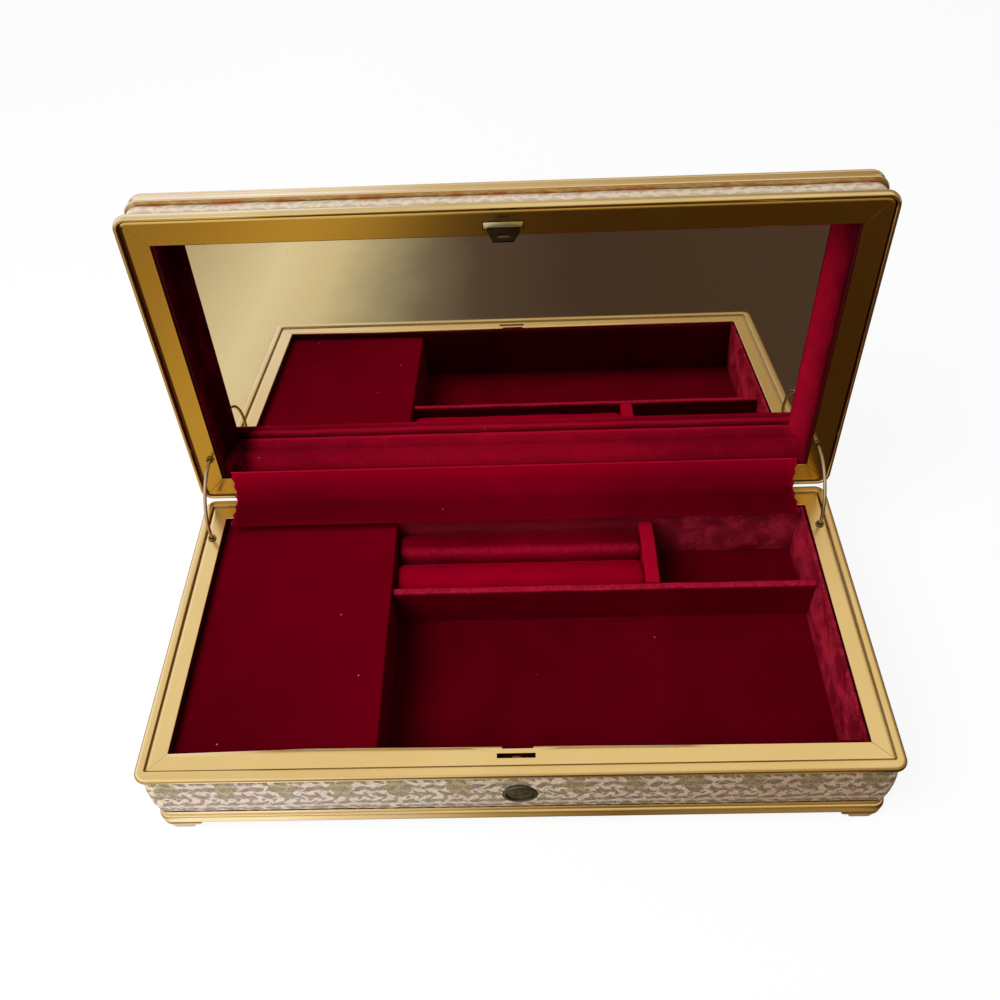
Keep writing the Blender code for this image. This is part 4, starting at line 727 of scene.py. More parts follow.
def start_group(name: str, inputs: list, outputs: list) -> tuple:
    """Make a node group with named sockets.

    Args:
        name: Name of the group.
        inputs: (name, socket type, default) entries.
        outputs: (name, socket type) entries.

    Returns:
        The tree, its graph, the sockets that give its inputs and those that take its outputs.
    """
    tree = bpy.data.node_groups.new(name, "ShaderNodeTree")
    for label, kind, default in inputs:
        socket = tree.interface.new_socket(name=label, in_out="INPUT", socket_type="NodeSocket" + kind)
        if default is not None:
            socket.default_value = default
    for label, kind in outputs:
        tree.interface.new_socket(name=label, in_out="OUTPUT", socket_type="NodeSocket" + kind)
    graph = Graph(tree)
    return tree, graph, tree.nodes.new("NodeGroupInput").outputs, tree.nodes.new("NodeGroupOutput").inputs


def velvet_group() -> NodeTree:
    """Velvet pile: brushed light and dark areas, painted light and shade, crushed marks, a nap, edges paler from wear
    and painted sheen, lint specks.
    """
    tree, g, given, out = start_group(
        "velvet_pile",
        [("Vector", "Vector", None), ("Dark", "Color", (0.05, 0.0, 0.003, 1)), ("Light", "Color", (0.2, 0.0, 0.01, 1)),
         ("Worn Tone", "Color", (0.4, 0.01, 0.03, 1)), ("Brushing", "Float", 0.4), ("Crush", "Float", 0.0),
         ("Lint", "Float", 1.0), ("Painted_Light", "Float", 0.0), ("Worn", "Float", 0.0), ("Plain", "Float", 0.0)],
        [("Color", "Color"), ("Height", "Float")])
    vector = given["Vector"]
    broad = g.noise(vector, 26, 2, 0.5, 0.6)
    crush = g.swing(vector, 300, 4, 0.62, 1.6)
    patch = g.noise(vector, 85, 2, 0.5, 0.8)
    nap = g.noise(vector, 2300, 2, 0.6)
    share = g.line(g.minus(broad, 0.5), g.times(given["Brushing"], 2.6), 0.4)
    # Painted light and shade: the mesh's number makes the pile lighter above zero and darker below.
    share = g.plus(share, given["Painted_Light"])
    patch = g.line(patch, 8.0, -3.5, clamp=True)
    crushed = g.times(given["Crush"], g.minus(1.0, given["Plain"]))
    marks = g.times(g.line(crush, 3.4, 0.55), patch)
    share = g.line(marks, crushed, share)
    share = g.line(g.minus(nap, 0.5), 0.34, share, clamp=True)
    cloth = g.mix(share, given["Dark"], given["Light"])
    # Paler pile where the mesh marks it: real wear on the walls' top edges and the strip's hem and ends, painted sheen
    # on the rolls' edges and on the lid lining's crest and right wall.
    worn = g.line(g.noise(vector, 620, 3, 0.7), 1.7, -0.25, clamp=True)
    worn = g.times(worn, given["Worn"], clamp=True)
    cloth = g.mix(worn, cloth, given["Worn Tone"])
    cells = g.node("TexVoronoi", feature="F1")
    g.fill(cells, {"Vector": vector, "Scale": 95})
    pick = g.node("SeparateColor")
    g.feed(pick.inputs[0], cells.outputs["Color"])
    few = g.line(pick.outputs[0], 4.0, -2.9, clamp=True)
    speck = g.times(g.below(cells.outputs["Distance"], 0.028, 0.018), few)
    speck = g.times(speck, given["Lint"], clamp=True)
    g.feed(out["Color"], g.mix(speck, cloth, (0.50, 0.20, 0.20)))
    g.feed(out["Height"], g.line(crush, crushed, nap))
    return tree


def gilt_group() -> NodeTree:
    """Gilt metal: slow changes of tone, a few dull spots, thin lines at the mitres and in the groove, and a painted
    reflection in its own tone on the flange inside the groove.
    """
    tree, g, given, out = start_group(
        "gilt_wear",
        [("Vector", "Vector", None), ("Bright", "Color", (0.8, 0.55, 0.2, 1)), ("Dull", "Color", (0.5, 0.3, 0.1, 1)),
         ("Deep", "Color", (0.5, 0.3, 0.1, 1)), ("Line", "Color", (0.2, 0.12, 0.03, 1)),
         ("Line Width", "Float", 0.0002), ("Mitre", "Float", 1.0), ("Groove", "Float", 1.0), ("Polish", "Float", 0.25)],
        [("Color", "Color"), ("Roughness", "Float"), ("Height", "Float")])
    vector = given["Vector"]
    tone = g.noise(vector, 13, 3, 0.55, 0.4)
    spots = g.below(g.noise(vector, 190, 3, 0.7), 0.27, 0.04)
    dull = g.line(g.minus(tone, 0.5), 1.4, 0.25, clamp=True)
    dull = g.larger(dull, g.times(spots, 0.35))
    colour = g.mix(dull, given["Bright"], given["Dull"])
    # Painted reflection: the flange inside the groove takes its own tone, darker on the lid's rim.
    deep = g.mix(g.times(dull, 0.5), given["Deep"], given["Dull"])
    colour = g.mix(g.below(given["Groove"], -0.0001, 0.0001), colour, deep)
    mitre = g.below(g.abs(given["Mitre"]), 0.00013, 0.00009)
    half = g.times(given["Line Width"], 0.5)
    groove = g.abs(g.minus(given["Groove"], half))
    groove = g.below(g.minus(groove, half), 0.00012, 0.00022)
    line = g.larger(g.times(mitre, 0.8), g.times(groove, 0.95))
    g.feed(out["Color"], g.mix(line, colour, given["Line"]))
    g.feed(out["Roughness"], g.line(dull, 0.1, given["Polish"], clamp=True))
    g.feed(out["Height"], g.times(line, -1.0))
    return tree


def leaf_layer(g: Graph, x: object, y: object, cell: tuple, leaf: tuple, degrees: float, start: tuple) -> tuple:
    """One layer of repeated leaves on a brick grid, every second row turned the other way.

    A leaf is where |across| < width (1 - (along / length)^2); its outline is where that difference is near zero.

    Args:
        g: Graph of the group.
        x: Distance along the cloth in millimetres.
        y: Distance across it in millimetres.
        cell: Width and height of a repeat in millimetres.
        leaf: Half length and half width of a leaf in millimetres.
        degrees: Turn of the leaf.
        start: Shift of the grid in millimetres.

    Returns:
        Masks of the leaf's outline, its inside and its veins.
    """
    row = g.over(g.plus(y, start[1]), cell[1])
    odd = g.times(g.fract(g.times(g.math("FLOOR", row), 0.5)), 2.0)
    sign = g.line(odd, -2.0, 1.0)
    column = g.plus(g.over(g.plus(x, start[0]), cell[0]), g.times(odd, 0.37))
    cx = g.times(g.minus(g.fract(column), 0.5), cell[0])
    cy = g.times(g.minus(g.fract(row), 0.5), cell[1])
    cy = g.times(cy, sign)
    cos_a, sin_a = math.cos(math.radians(degrees)), math.sin(math.radians(degrees))
    along = g.plus(g.times(cx, cos_a), g.times(cy, sin_a))
    across = g.minus(g.times(cy, cos_a), g.times(cx, sin_a))
    bend = g.times(g.times(along, along), 0.30 / leaf[0])
    across = g.abs(g.plus(across, bend))
    share = g.over(along, leaf[0])
    width = g.times(g.minus(1.0, g.times(share, share)), leaf[1])
    edge = g.minus(across, width)
    inside = g.below(edge, -0.12, 0.1)
    outline = g.below(g.abs(edge), 0.16, 0.16)
    outline = g.times(outline, g.below(g.abs(share), 1.06, 0.05))
    rib = g.below(across, 0.14, 0.09)
    vein = g.fract(g.over(g.line(across, 1.3, along), 1.25))
    vein = g.below(g.abs(g.minus(vein, 0.5)), 0.18, 0.14)
    veins = g.times(g.larger(rib, vein), inside)
    return outline, inside, veins


def brocade_group() -> NodeTree:
    """Brocade: a pale ground with grey hatched leaves, thin stems and dotted old-gold fans on a brick grid.

    A fan is where a slow wave along and across the cloth passes its threshold, with a frayed edge.
    """
    tree, g, given, out = start_group(
        "brocade_leaves",
        [("Vector", "Vector", None), ("Red", "Float", 0.0), ("Aged", "Float", 0.0), ("Faded", "Float", 0.0)],
        [("Color", "Color"), ("Height", "Float"), ("Shine", "Float")])
    vector = given["Vector"]
    x, y, _ = g.split(vector)
    warp = g.swing(vector, 75, 3, 0.6)
    fray = g.swing(vector, 420, 3, 0.65)
    x = g.line(warp, 3.0, g.line(fray, 0.8, g.times(x, 1 / MM)))
    y = g.line(warp, 3.2, g.line(fray, 1.0, g.times(y, 1 / MM)))
    big = leaf_layer(g, x, y, (8.6, 5.8), (3.5, 1.15), 12, (0.0, 2.2))
    small = leaf_layer(g, x, y, (6.3, 4.9), (2.3, 0.85), -30, (2.5, 0.6))
    tiny = leaf_layer(g, x, y, (4.7, 3.9), (1.3, 0.55), 48, (1.1, 1.9))
    wave = g.wave("SINE", x, 8.6)
    rows = 9.6
    stem_row = g.minus(g.fract(g.over(g.line(wave, 2.2, y), rows)), 0.5)
    stem = g.below(g.abs(g.times(stem_row, rows)), 0.16, 0.16)
    drawn = g.larger(g.larger(big[0], small[0]), g.larger(tiny[0], stem))
    veins = g.larger(big[2], small[2], tiny[2])
    leaf = g.larger(big[1], small[1], tiny[1])
    fan_x = g.wave("COSINE", x, 22.3)
    fan_y = g.wave("COSINE", g.minus(y, 46.5), 22.0)
    fan = g.line(warp, 1.6, g.line(fan_x, 0.95, fan_y))
    fan = g.minus(1.0, g.below(g.line(fray, 1.8, fan), 1.15, 0.12))
    dots = g.times(g.wave("SINE", x, 1.1), g.wave("SINE", y, 2.1))
    dots = g.line(dots, 0.5, 0.5)
    blush = g.line(g.swing(vector, 55, 2, 0.6), 4.5, 0.35, clamp=True)
    ground = g.mix(blush, (0.67, 0.57, 0.42), (0.68, 0.50, 0.40))
    ground = g.mix(g.line(fray, 1.6, 0.22, clamp=True), ground, (0.30, 0.22, 0.14))
    cloth = g.mix(g.times(leaf, 0.8), ground, g.mix(blush, (0.31, 0.26, 0.17), (0.36, 0.21, 0.15)))
    cloth = g.mix(g.times(veins, 0.6), cloth, (0.13, 0.095, 0.055))
    gold = g.mix(g.times(dots, 0.85), (0.47, 0.38, 0.17), (0.12, 0.09, 0.035))
    cloth = g.mix(g.times(fan, 0.85), cloth, gold)
    cloth = g.mix(g.times(drawn, 0.7), cloth, (0.12, 0.08, 0.05))
    # Painted shade: where the input is high the cloth is multiplied darker and browner.
    brown = g.node("Mix", data_type="RGBA", blend_type="MULTIPLY")
    cloth = g.fill(brown, {0: given["Aged"], 6: cloth, 7: (0.60, 0.50, 0.40)}).outputs[2]
    red = g.line(g.swing(vector, 95, 2, 0.6), 9.0, 0.3, clamp=True)
    red = g.times(red, g.line(y, 0.7, -11.0, clamp=True))
    cloth = g.mix(given["Faded"], cloth, (0.60, 0.50, 0.36))
    cloth = g.mix(g.times(red, given["Red"]), cloth, (0.40, 0.11, 0.035))
    g.feed(out["Color"], cloth)
    raised = g.line(leaf, 0.8, g.times(dots, 0.35))
    g.feed(out["Height"], g.line(g.larger(drawn, veins), -0.7, raised))
    g.feed(out["Shine"], g.line(leaf, -0.15, 0.6))
    return tree


# Finishes

@dataclass(frozen=True)
class VelvetFinish:
    """Burgundy velvet; a crushed one shows mottled pile; where the mesh marks it, the pile is paler from wear and from
    painted sheen, and lighter or darker from painted light and shade.
    """

    name: str
    dark: tuple = (0.050, 0.0, 0.0020)
    light: tuple = (0.120, 0.0, 0.0050)
    # Colour of pile that is paler from wear and from painted sheen.
    worn: tuple = (0.42, 0.010, 0.034)
    brushing: float = 0.35
    crush: float = 0.0
    lint: float = 1.0
    sheen: float = 0.25

    def material(self) -> Material:
        """Build the material with its own values of the pile group."""
        material, g, shader = start_material(self.name)
        where = g.place()
        pile = g.node("Group", node_tree=Library.group("velvet_pile", velvet_group))
        g.fill(pile, {"Vector": where, "Dark": self.dark, "Light": self.light, "Worn Tone": self.worn,
                      "Brushing": self.brushing, "Crush": self.crush, "Lint": self.lint})
        # The mesh's numbers paint light and shade into the pile, and paler pile for wear and for painted sheen.
        g.marks(pile, "Painted_Light", "Worn", "Plain")
        g.fill(shader, {"Base Color": pile.outputs["Color"], "Roughness": 0.95, "Specular IOR Level": 0.0,
                        "Sheen Weight": self.sheen, "Sheen Roughness": 0.4, "Sheen Tint": (0.8, 0.0, 0.05)})
        add_bump(g, shader, pile.outputs["Height"], 0.5, 0.0002)
        return material


@dataclass(frozen=True)
class GiltFinish:
    """Gilt or plain brass, with its tone and polish; a rim has mitres and a groove, and its flange a painted reflection
    in a tone of its own.
    """

    name: str
    bright: tuple = (0.78, 0.54, 0.21)
    dull: tuple = (0.62, 0.38, 0.11)
    polish: float = 0.2
    rim: bool = False
    deep: tuple = (0.78, 0.54, 0.21)
    line: tuple = (0.22, 0.14, 0.035)
    line_width: float = 0.2

    def material(self) -> Material:
        """Build the material with its own values of the wear group."""
        material, g, shader = start_material(self.name)
        where = g.place()
        wear = g.node("Group", node_tree=Library.group("gilt_wear", gilt_group))
        g.fill(wear, {"Vector": where, "Bright": self.bright, "Dull": self.dull, "Deep": self.deep,
                      "Line": self.line, "Line Width": self.line_width * MM, "Polish": self.polish})
        if self.rim:
            g.marks(wear, "Mitre", "Groove")
        g.fill(shader, {"Base Color": wear.outputs["Color"], "Roughness": wear.outputs["Roughness"], "Metallic": 1.0})
        add_bump(g, shader, wear.outputs["Height"], 0.35, 0.0001)
        return material


@dataclass(frozen=True)
class BrocadeFinish:
    """Silver, pink and old-gold brocade on the cloth's own UV; on the base band a painted shade darkens and browns it
    towards the right.
    """

    name: str = "brocade"
    red: float = 0.0
    faded: float = 0.0
    aged: bool = False

    def material(self) -> Material:
        """Build the material on the cloth UV."""
        material, g, shader = start_material(self.name)
        where = g.node("UVMap", uv_map="cloth").outputs["UV"]
        weave = g.node("Group", node_tree=Library.group("brocade_leaves", brocade_group))
        g.fill(weave, {"Vector": where, "Red": self.red, "Faded": self.faded})
        # Painted shade: the cloth darker and browner from left to right along X.
        if self.aged:
            x, _, _ = g.split(g.place())
            g.feed(weave.inputs["Aged"], g.line(x, 5.5, 0.45, clamp=True))
        g.fill(shader, {"Base Color": weave.outputs["Color"], "Roughness": weave.outputs["Shine"],
                        "Sheen Weight": 0.04, "Sheen Roughness": 0.4})
        add_bump(g, shader, weave.outputs["Height"], 0.6, 0.00025)
        return material


@dataclass(frozen=True)
class MirrorFinish:
    """Old silvered glass with faint smears."""

    name: str = "silvered_glass"

    def material(self) -> Material:
        """Build the material."""
        material, g, shader = start_material(self.name)
        where = g.place()
        smear = g.noise(where, 18, 4, 0.65, 1.2)
        dust = g.below(g.noise(where, 700, 2, 0.7), 0.27, 0.03)
        g.fill(shader, {"Base Color": g.mix(dust, (0.86, 0.84, 0.79), (0.62, 0.58, 0.52)),
                        "Roughness": g.line(smear, 0.05, -0.005, clamp=True), "Metallic": 1.0})
        return material


@dataclass(frozen=True)
class WoodFinish:
    """Plain wood with straight grain along X; a carcass can carry a painted shadow, near black inside the opening, and
    painted light, red-brown at the latch slot.
    """

    name: str = "pine"
    light: tuple = (0.50, 0.36, 0.22)
    dark: tuple = (0.33, 0.21, 0.11)
    shade_sheet_x: float = 0.0
    shade_sheet_y: float = 1.0

    def material(self) -> Material:
        """Build the material."""
        material, g, shader = start_material(self.name)
        stretch = g.node("Mapping")
        g.feed(stretch.inputs["Vector"], g.place())
        stretch.inputs["Scale"].default_value = (6, 160, 160)
        grain = g.noise(stretch.outputs[0], 1.0, 4, 0.65, 0.5)
        colour = g.mix(grain, self.light, self.dark)
        # Painted shadow: the wood inside the opening near black. Painted light: the wood at the latch slot red-brown,
        # so the deep slot is not black.
        if self.shade_sheet_x:
            x, y, _ = g.split(g.place())
            y = g.abs(g.minus(y, BOX.centre_y))
            shade_sheet = g.times(g.below(g.abs(x), self.shade_sheet_x, 0.1 * MM), g.below(y, self.shade_sheet_y, 0.1 * MM))
            slot = g.times(g.below(g.abs(x), 12 * MM, MM), g.below(y, 66 * MM, MM))
            painted = g.larger(shade_sheet, slot)
            colour = g.mix(painted, colour, g.mix(slot, (0.045, 0.002, 0.003), (0.30, 0.03, 0.015)))
        g.fill(shader, {"Base Color": colour, "Roughness": g.line(grain, 0.2, 0.55), "Specular IOR Level": 0.1})
        add_bump(g, shader, grain, 0.3, 0.0002)
        return material


@dataclass(frozen=True)
class CardFinish:
    """Grey card with a fibrous surface."""

    name: str = "grey_card"

    def material(self) -> Material:
        """Build the material."""
        material, g, shader = start_material(self.name)
        fibre = g.noise(g.place(), 800, 3, 0.7)
        g.fill(shader, {"Base Color": g.mix(fibre, (0.30, 0.26, 0.20), (0.40, 0.35, 0.28)), "Roughness": 0.9})
        add_bump(g, shader, fibre, 0.3, 0.0001)
        return material


def start_material(name: str) -> tuple:
    """A new material with its graph and its Principled shader."""
    material = bpy.data.materials.new(name)
    material.use_nodes = True
    return material, Graph(material.node_tree), material.node_tree.nodes["Principled BSDF"]


def add_bump(g: Graph, shader: Node, height: object, strength: float, distance: float) -> None:
    """Feed the shader's normal from a height."""
    bump = g.fill(g.node("Bump"), {"Height": height, "Strength": strength, "Distance": distance})
    g.feed(shader.inputs["Normal"], bump.outputs[0])


class Library:
    """Materials and node groups, each built once."""

    groups: dict = {}
    materials: dict = {}

    @classmethod
    def group(cls, name: str, build: object) -> NodeTree:
        """A node group by name, built the first time."""
        if name not in cls.groups:
            cls.groups[name] = build()
        return cls.groups[name]

    @classmethod
    def material(cls, finish: object) -> Material:
        """A finish's material, built the first time."""
        if finish.name not in cls.materials:
            cls.materials[finish.name] = finish.material()
        return cls.materials[finish.name]

    @classmethod
    def dress(cls, obj: Piece, finish: object) -> None:
        """Give an object a finish's material in every slot that it has, or in a first one."""
        material = cls.material(finish)
        if not obj.data.materials:
            obj.data.materials.append(material)
        for index in range(len(obj.material_slots)):
            obj.material_slots[index].material = material


GILT_BASE = GiltFinish("gilt_base_rim", (0.79, 0.56, 0.23), (0.64, 0.41, 0.13), rim=True, deep=(0.79, 0.56, 0.23),
                       line=(0.26, 0.17, 0.05), line_width=0.55)
# The lid's rim: its darker flange tone and its broad dark brown line at the groove are a painted dark reflection.
GILT_LID = GiltFinish("gilt_lid_rim", (0.72, 0.54, 0.24), (0.50, 0.32, 0.09), 0.16, rim=True,
                      deep=(0.60, 0.37, 0.065), line=(0.05, 0.010, 0.001), line_width=1.5)
GILT_RAIL = GiltFinish("gilt_rail", (0.74, 0.53, 0.22), (0.60, 0.38, 0.12), 0.17)
GILT_TOP = GiltFinish("gilt_lid_frame", (0.74, 0.54, 0.25), (0.60, 0.38, 0.13), 0.2)
GILT_FOOT = GiltFinish("gilt_feet", (0.56, 0.46, 0.27), (0.40, 0.31, 0.16), 0.34)
BRASS = GiltFinish("brass", (0.62, 0.46, 0.20), (0.40, 0.28, 0.12), 0.3)
EYELET_BRASS = GiltFinish("eyelet_brass", (0.34, 0.24, 0.10), (0.15, 0.10, 0.04), 0.3)
PLATE_BRASS = GiltFinish("plate_brass", (0.70, 0.24, 0.14), (0.55, 0.17, 0.10), 0.5)
WIRE_BRASS = GiltFinish("wire_brass", (0.62, 0.47, 0.24), (0.34, 0.24, 0.11), 0.3)
DARK_BRASS = GiltFinish("dark_brass", (0.14, 0.125, 0.078), (0.050, 0.042, 0.026), 0.38)
# Near black: a painted dark reflection on the catch's tongue.
TONGUE_DARK_REFLECTION = GiltFinish("tongue_dark_reflection", (0.020, 0.011, 0.005), (0.012, 0.007, 0.003), 0.42)
STEEL = GiltFinish("steel", (0.56, 0.56, 0.55), (0.40, 0.39, 0.37), 0.3)
# The velvets are one cloth in copies whose tones were set piece by piece, painting light and shade: darker for the deep
# tray floor and walls, lighter for the rolls, the short divider, the strip and the crushed rear and right walls, and
# near black to bright for the lid lining's shaded and lit walls.
VELVET_TRAY = VelvetFinish("velvet_tray", (0.050, 0.0, 0.0022), (0.130, 0.0, 0.0062))
VELVET_WALL = VelvetFinish("velvet_wall", (0.040, 0.0, 0.0018), (0.115, 0.0, 0.0052), lint=0.7)
VELVET_PLATFORM = VelvetFinish("velvet_platform", (0.055, 0.0, 0.0026), (0.165, 0.0, 0.0070), brushing=0.18, lint=0.8)
VELVET_CRUSHED = VelvetFinish("velvet_crushed", (0.055, 0.0, 0.0030), (0.36, 0.016, 0.036), crush=0.6, brushing=0.2)
VELVET_ROLL = VelvetFinish("velvet_roll", (0.045, 0.0, 0.0020), (0.36, 0.0, 0.016), brushing=0.2)
VELVET_SHORT = VelvetFinish("velvet_short_divider", (0.060, 0.0, 0.003), (0.33, 0.0, 0.012), brushing=0.2)
VELVET_STRIP = VelvetFinish("velvet_strip", (0.035, 0.0, 0.0018), (0.29, 0.0, 0.013), brushing=0.12, lint=0.8)
VELVET_LINING = VelvetFinish("velvet_lining", (0.010, 0.0, 0.0008), (0.37, 0.003, 0.020), brushing=0.12, crush=0.1)
BROCADE = BrocadeFinish()
BROCADE_LID = BrocadeFinish("brocade_lid_band", 0.8, 0.5)
# The base band carries painted shade towards the right.
BROCADE_BASE = BrocadeFinish("brocade_base_band", aged=True)
PINE = WoodFinish()
# The carcasses carry the painted shadow inside the opening and the painted light at the latch slot.
PINE_BASE = WoodFinish("pine_base_shade_sheet", shade_sheet_x=133.6 * MM, shade_sheet_y=59.6 * MM)
PINE_LID = WoodFinish("pine_lid_shade_sheet", shade_sheet_x=134.8 * MM)
CARD = CardFinish()
MIRROR = MirrorFinish()


# Sub-assemblies

@dataclass
class GiltFrames:
    """The stamped gilt rims of base and lid, the base's lower rail and the lid's outer frame."""

    flange_w: float = 6.9
    flange_t: float = FLANGE_T
    groove_w: float = 0.22
    groove_d: float = 0.22
    rim_out: float = RIM_OUT
    rim_half: float = 2.05
    bead_rise: float = 0.85
    bead_drop: float = 3.3
    skirt: float = 0.7
    lid_flange_w: float = 10.0
    lid_rim_out: float = 12.1
    lid_rim_half: float = 0.95
    lid_widen: float = 1.25
    bow: tuple = ((-HALF_W, 0.1), (-80, 1.3), (-27, 0.9), (28, 0.6), (65, 0.2), (HALF_W, 0.0))
    rail_foot: float = 6.2
    top_out: float = 12.5
    hinge_half: float = 127.1
    hinge_in: float = 6.46
    hinge_face: float = 9.9
    hinge_room: tuple = (22.8, 6.6)
    slot_w: float = 14.6
    slot_y: tuple = (-1.35, 0.65)
    seat_w: float = 15.6
    seat_y: tuple = (-2.9, 0.3)
    notch_half: float = 5.9
    catch_m: float = 2.65
    stay_y: float = 47.25
    hole_r: float = 1.6

    def rim_profile(self, up: int, flange_w: float, rim_out: float, half: float) -> list:
        """Flat flange, fine groove and round bead.

        Args:
            up: 1 on the base and -1 on the lid.
            flange_w: Width of the flange in millimetres.
            rim_out: Offset of the rim's outer face.
            half: Half the bead's width.

        Returns:
            (offset, height) pairs in millimetres.
        """
        radius = (self.bead_rise + self.bead_drop) / 2
        centre = rim_out - half
        f, w = flange_w, self.groove_w
        points = [(0, -self.flange_t), (0, -0.12), (0.12, 0), (1.5, 0), (f - 1.5, 0), (f - w - 0.1, 0), (f - w, -0.04),
                  (f, -self.groove_d), (f + w * 0.5, -0.1), (f + w, 0.42), (f + 2 * w, 0.68), (f + 3 * w, 0.79),
                  (f + 5 * w, self.bead_rise)]
        points += arc((centre, self.bead_rise - radius), (half, radius), (90, -90), 20)
        points += [(centre - self.skirt, -self.bead_drop), (centre - self.skirt, -self.flange_t)]
        return [(m, up * h) for m, h in points]

    def rail_profile(self) -> list:
        """Lower rail: upright flat, fine quirk and half-round bead, with the lip under the floor."""
        foot = self.rail_foot - FLANGE_H
        points = [(3.0, foot + 1.0), (8.6, foot + 1.0), (8.6, foot + 8.3), (10.15, foot + 8.3), (10.3, foot + 8.15),
                  (10.3, foot + 6.1), (10.12, foot + 5.95), (10.3, foot + 5.8)]
        points += arc((10.3, foot + 2.9), (1.2, 2.9), (88, -90), 18)
        return points + [(3.0, foot)]

    def top_profile(self) -> list:
        """Lid's outer frame: a shallow cove at the side, a quirk, a round shoulder and a thin lip on the brocade."""
        foot, top, inner, out = 12.5, 21.8, 8.3, self.top_out
        points = [(inner, foot), (out - 0.45, foot)]
        points += arc((out - 0.5, foot + 0.5), (0.5, 0.5), (-75, 0), 5)
        points += [(out - inset, foot + rise) for inset, rise in (
            (0.12, 1.3), (0.3, 2.4), (0.25, 3.6), (0.05, 4.6), (0.1, 4.85), (0.32, 5.0), (0.12, 5.15))]
        points += arc((out - 4.2, 17.8), (4.2, 4.0), (0, 90), 14)
        points += [(6.6, top), (6.4, top - 0.12), (6.2, top), (2.9, top), (2.7, top - 0.15), (2.7, top - 0.8)]
        return points + [(inner, top - 0.8)]

    def rear_step(self, name: str, shell: Shell) -> Piece:
        """The tool that clears the rear rim for the hinge: an L-shaped bar."""
        up = 1 if shell is Shell.BASE else -1
        out, room = self.hinge_room
        outline = [(self.hinge_in, 0.02), (self.hinge_face, 0.02), (self.hinge_face, -room), (out, -room), (out, room),
                   (self.hinge_in, room)]
        rows = [[(x, HALF_D + m, up * h) for m, h in outline] for x in (-self.hinge_half, self.hinge_half)]
        return skin(name, BOX.place(shell, np.array(rows) * MM))

    def build(self) -> None:
        """Make and dress the four frames."""
        base = frame_sweep("gilt_base_rim", self.rim_profile(1, self.flange_w, self.rim_out, self.rim_half),
                           Shell.BASE, 9, bow=self.bow)
        lid = frame_sweep("gilt_lid_rim", self.rim_profile(-1, self.lid_flange_w, self.lid_rim_out, self.lid_rim_half),
                          Shell.LID, widen=self.lid_widen)
        front = -HALF_D - self.catch_m
        half, left, right = self.slot_w / 2, LATCH_X - self.notch_half, LATCH_X + self.notch_half
        ahead, behind = self.slot_y
        tools = [cutter_box("slot", Shell.BASE, (-half, front + ahead, -2), (half, front + behind, 1)),
                 cutter_box("notch", Shell.BASE, (left, -HALF_D - 0.15, -2), (right, -HALF_D + 2, 1)),
                 self.rear_step("base_step", Shell.BASE)]
        cut(base, *tools, *self.stay_holes(Shell.BASE))
        half, (ahead, behind) = self.seat_w / 2, self.seat_y
        seat = cutter_box("seat", Shell.LID, (-half, front + ahead, -1), (half, front + behind, 2))
        cut(lid, seat, self.rear_step("lid_step", Shell.LID), *self.stay_holes(Shell.LID))
        mark_rim(base, Shell.BASE, self.flange_w, widen=0.0, faint_sides=0.3, broad_left=0.0, tight=1.0)
        # On the lid the groove's line is dark and broad on the left, narrow elsewhere: a painted dark reflection.
        mark_rim(lid, Shell.LID, self.lid_flange_w, self.lid_widen, faint_sides=0.0, broad_left=1.5, tight=6.0)
        rail = frame_sweep("gilt_base_rail", self.rail_profile(), Shell.BASE)
        top = frame_sweep("gilt_lid_frame", self.top_profile(), Shell.LID, sharp=30)
        tidy_mesh(top)
        for piece, node, finish in ((base, "base_rim_frame", GILT_BASE), (rail, "base_rail_frame", GILT_RAIL),
                                    (lid, "lid_rim_frame", GILT_LID), (top, "lid_top_frame", GILT_TOP)):
            stand_in(piece, finish, "lid" if node.startswith("lid") else "base", node)
        LOG.info("gilt frames: rims, rail and lid frame")

    def stay_holes(self, shell: Shell) -> list:
        """Round tools where the stays' eyelets sit."""
        return [cutter_rod(f"hole_{side.name}", shell, side.value * (HALF_W + STAY_M), self.stay_y, self.hole_r, 2.5)
                for side in Side]


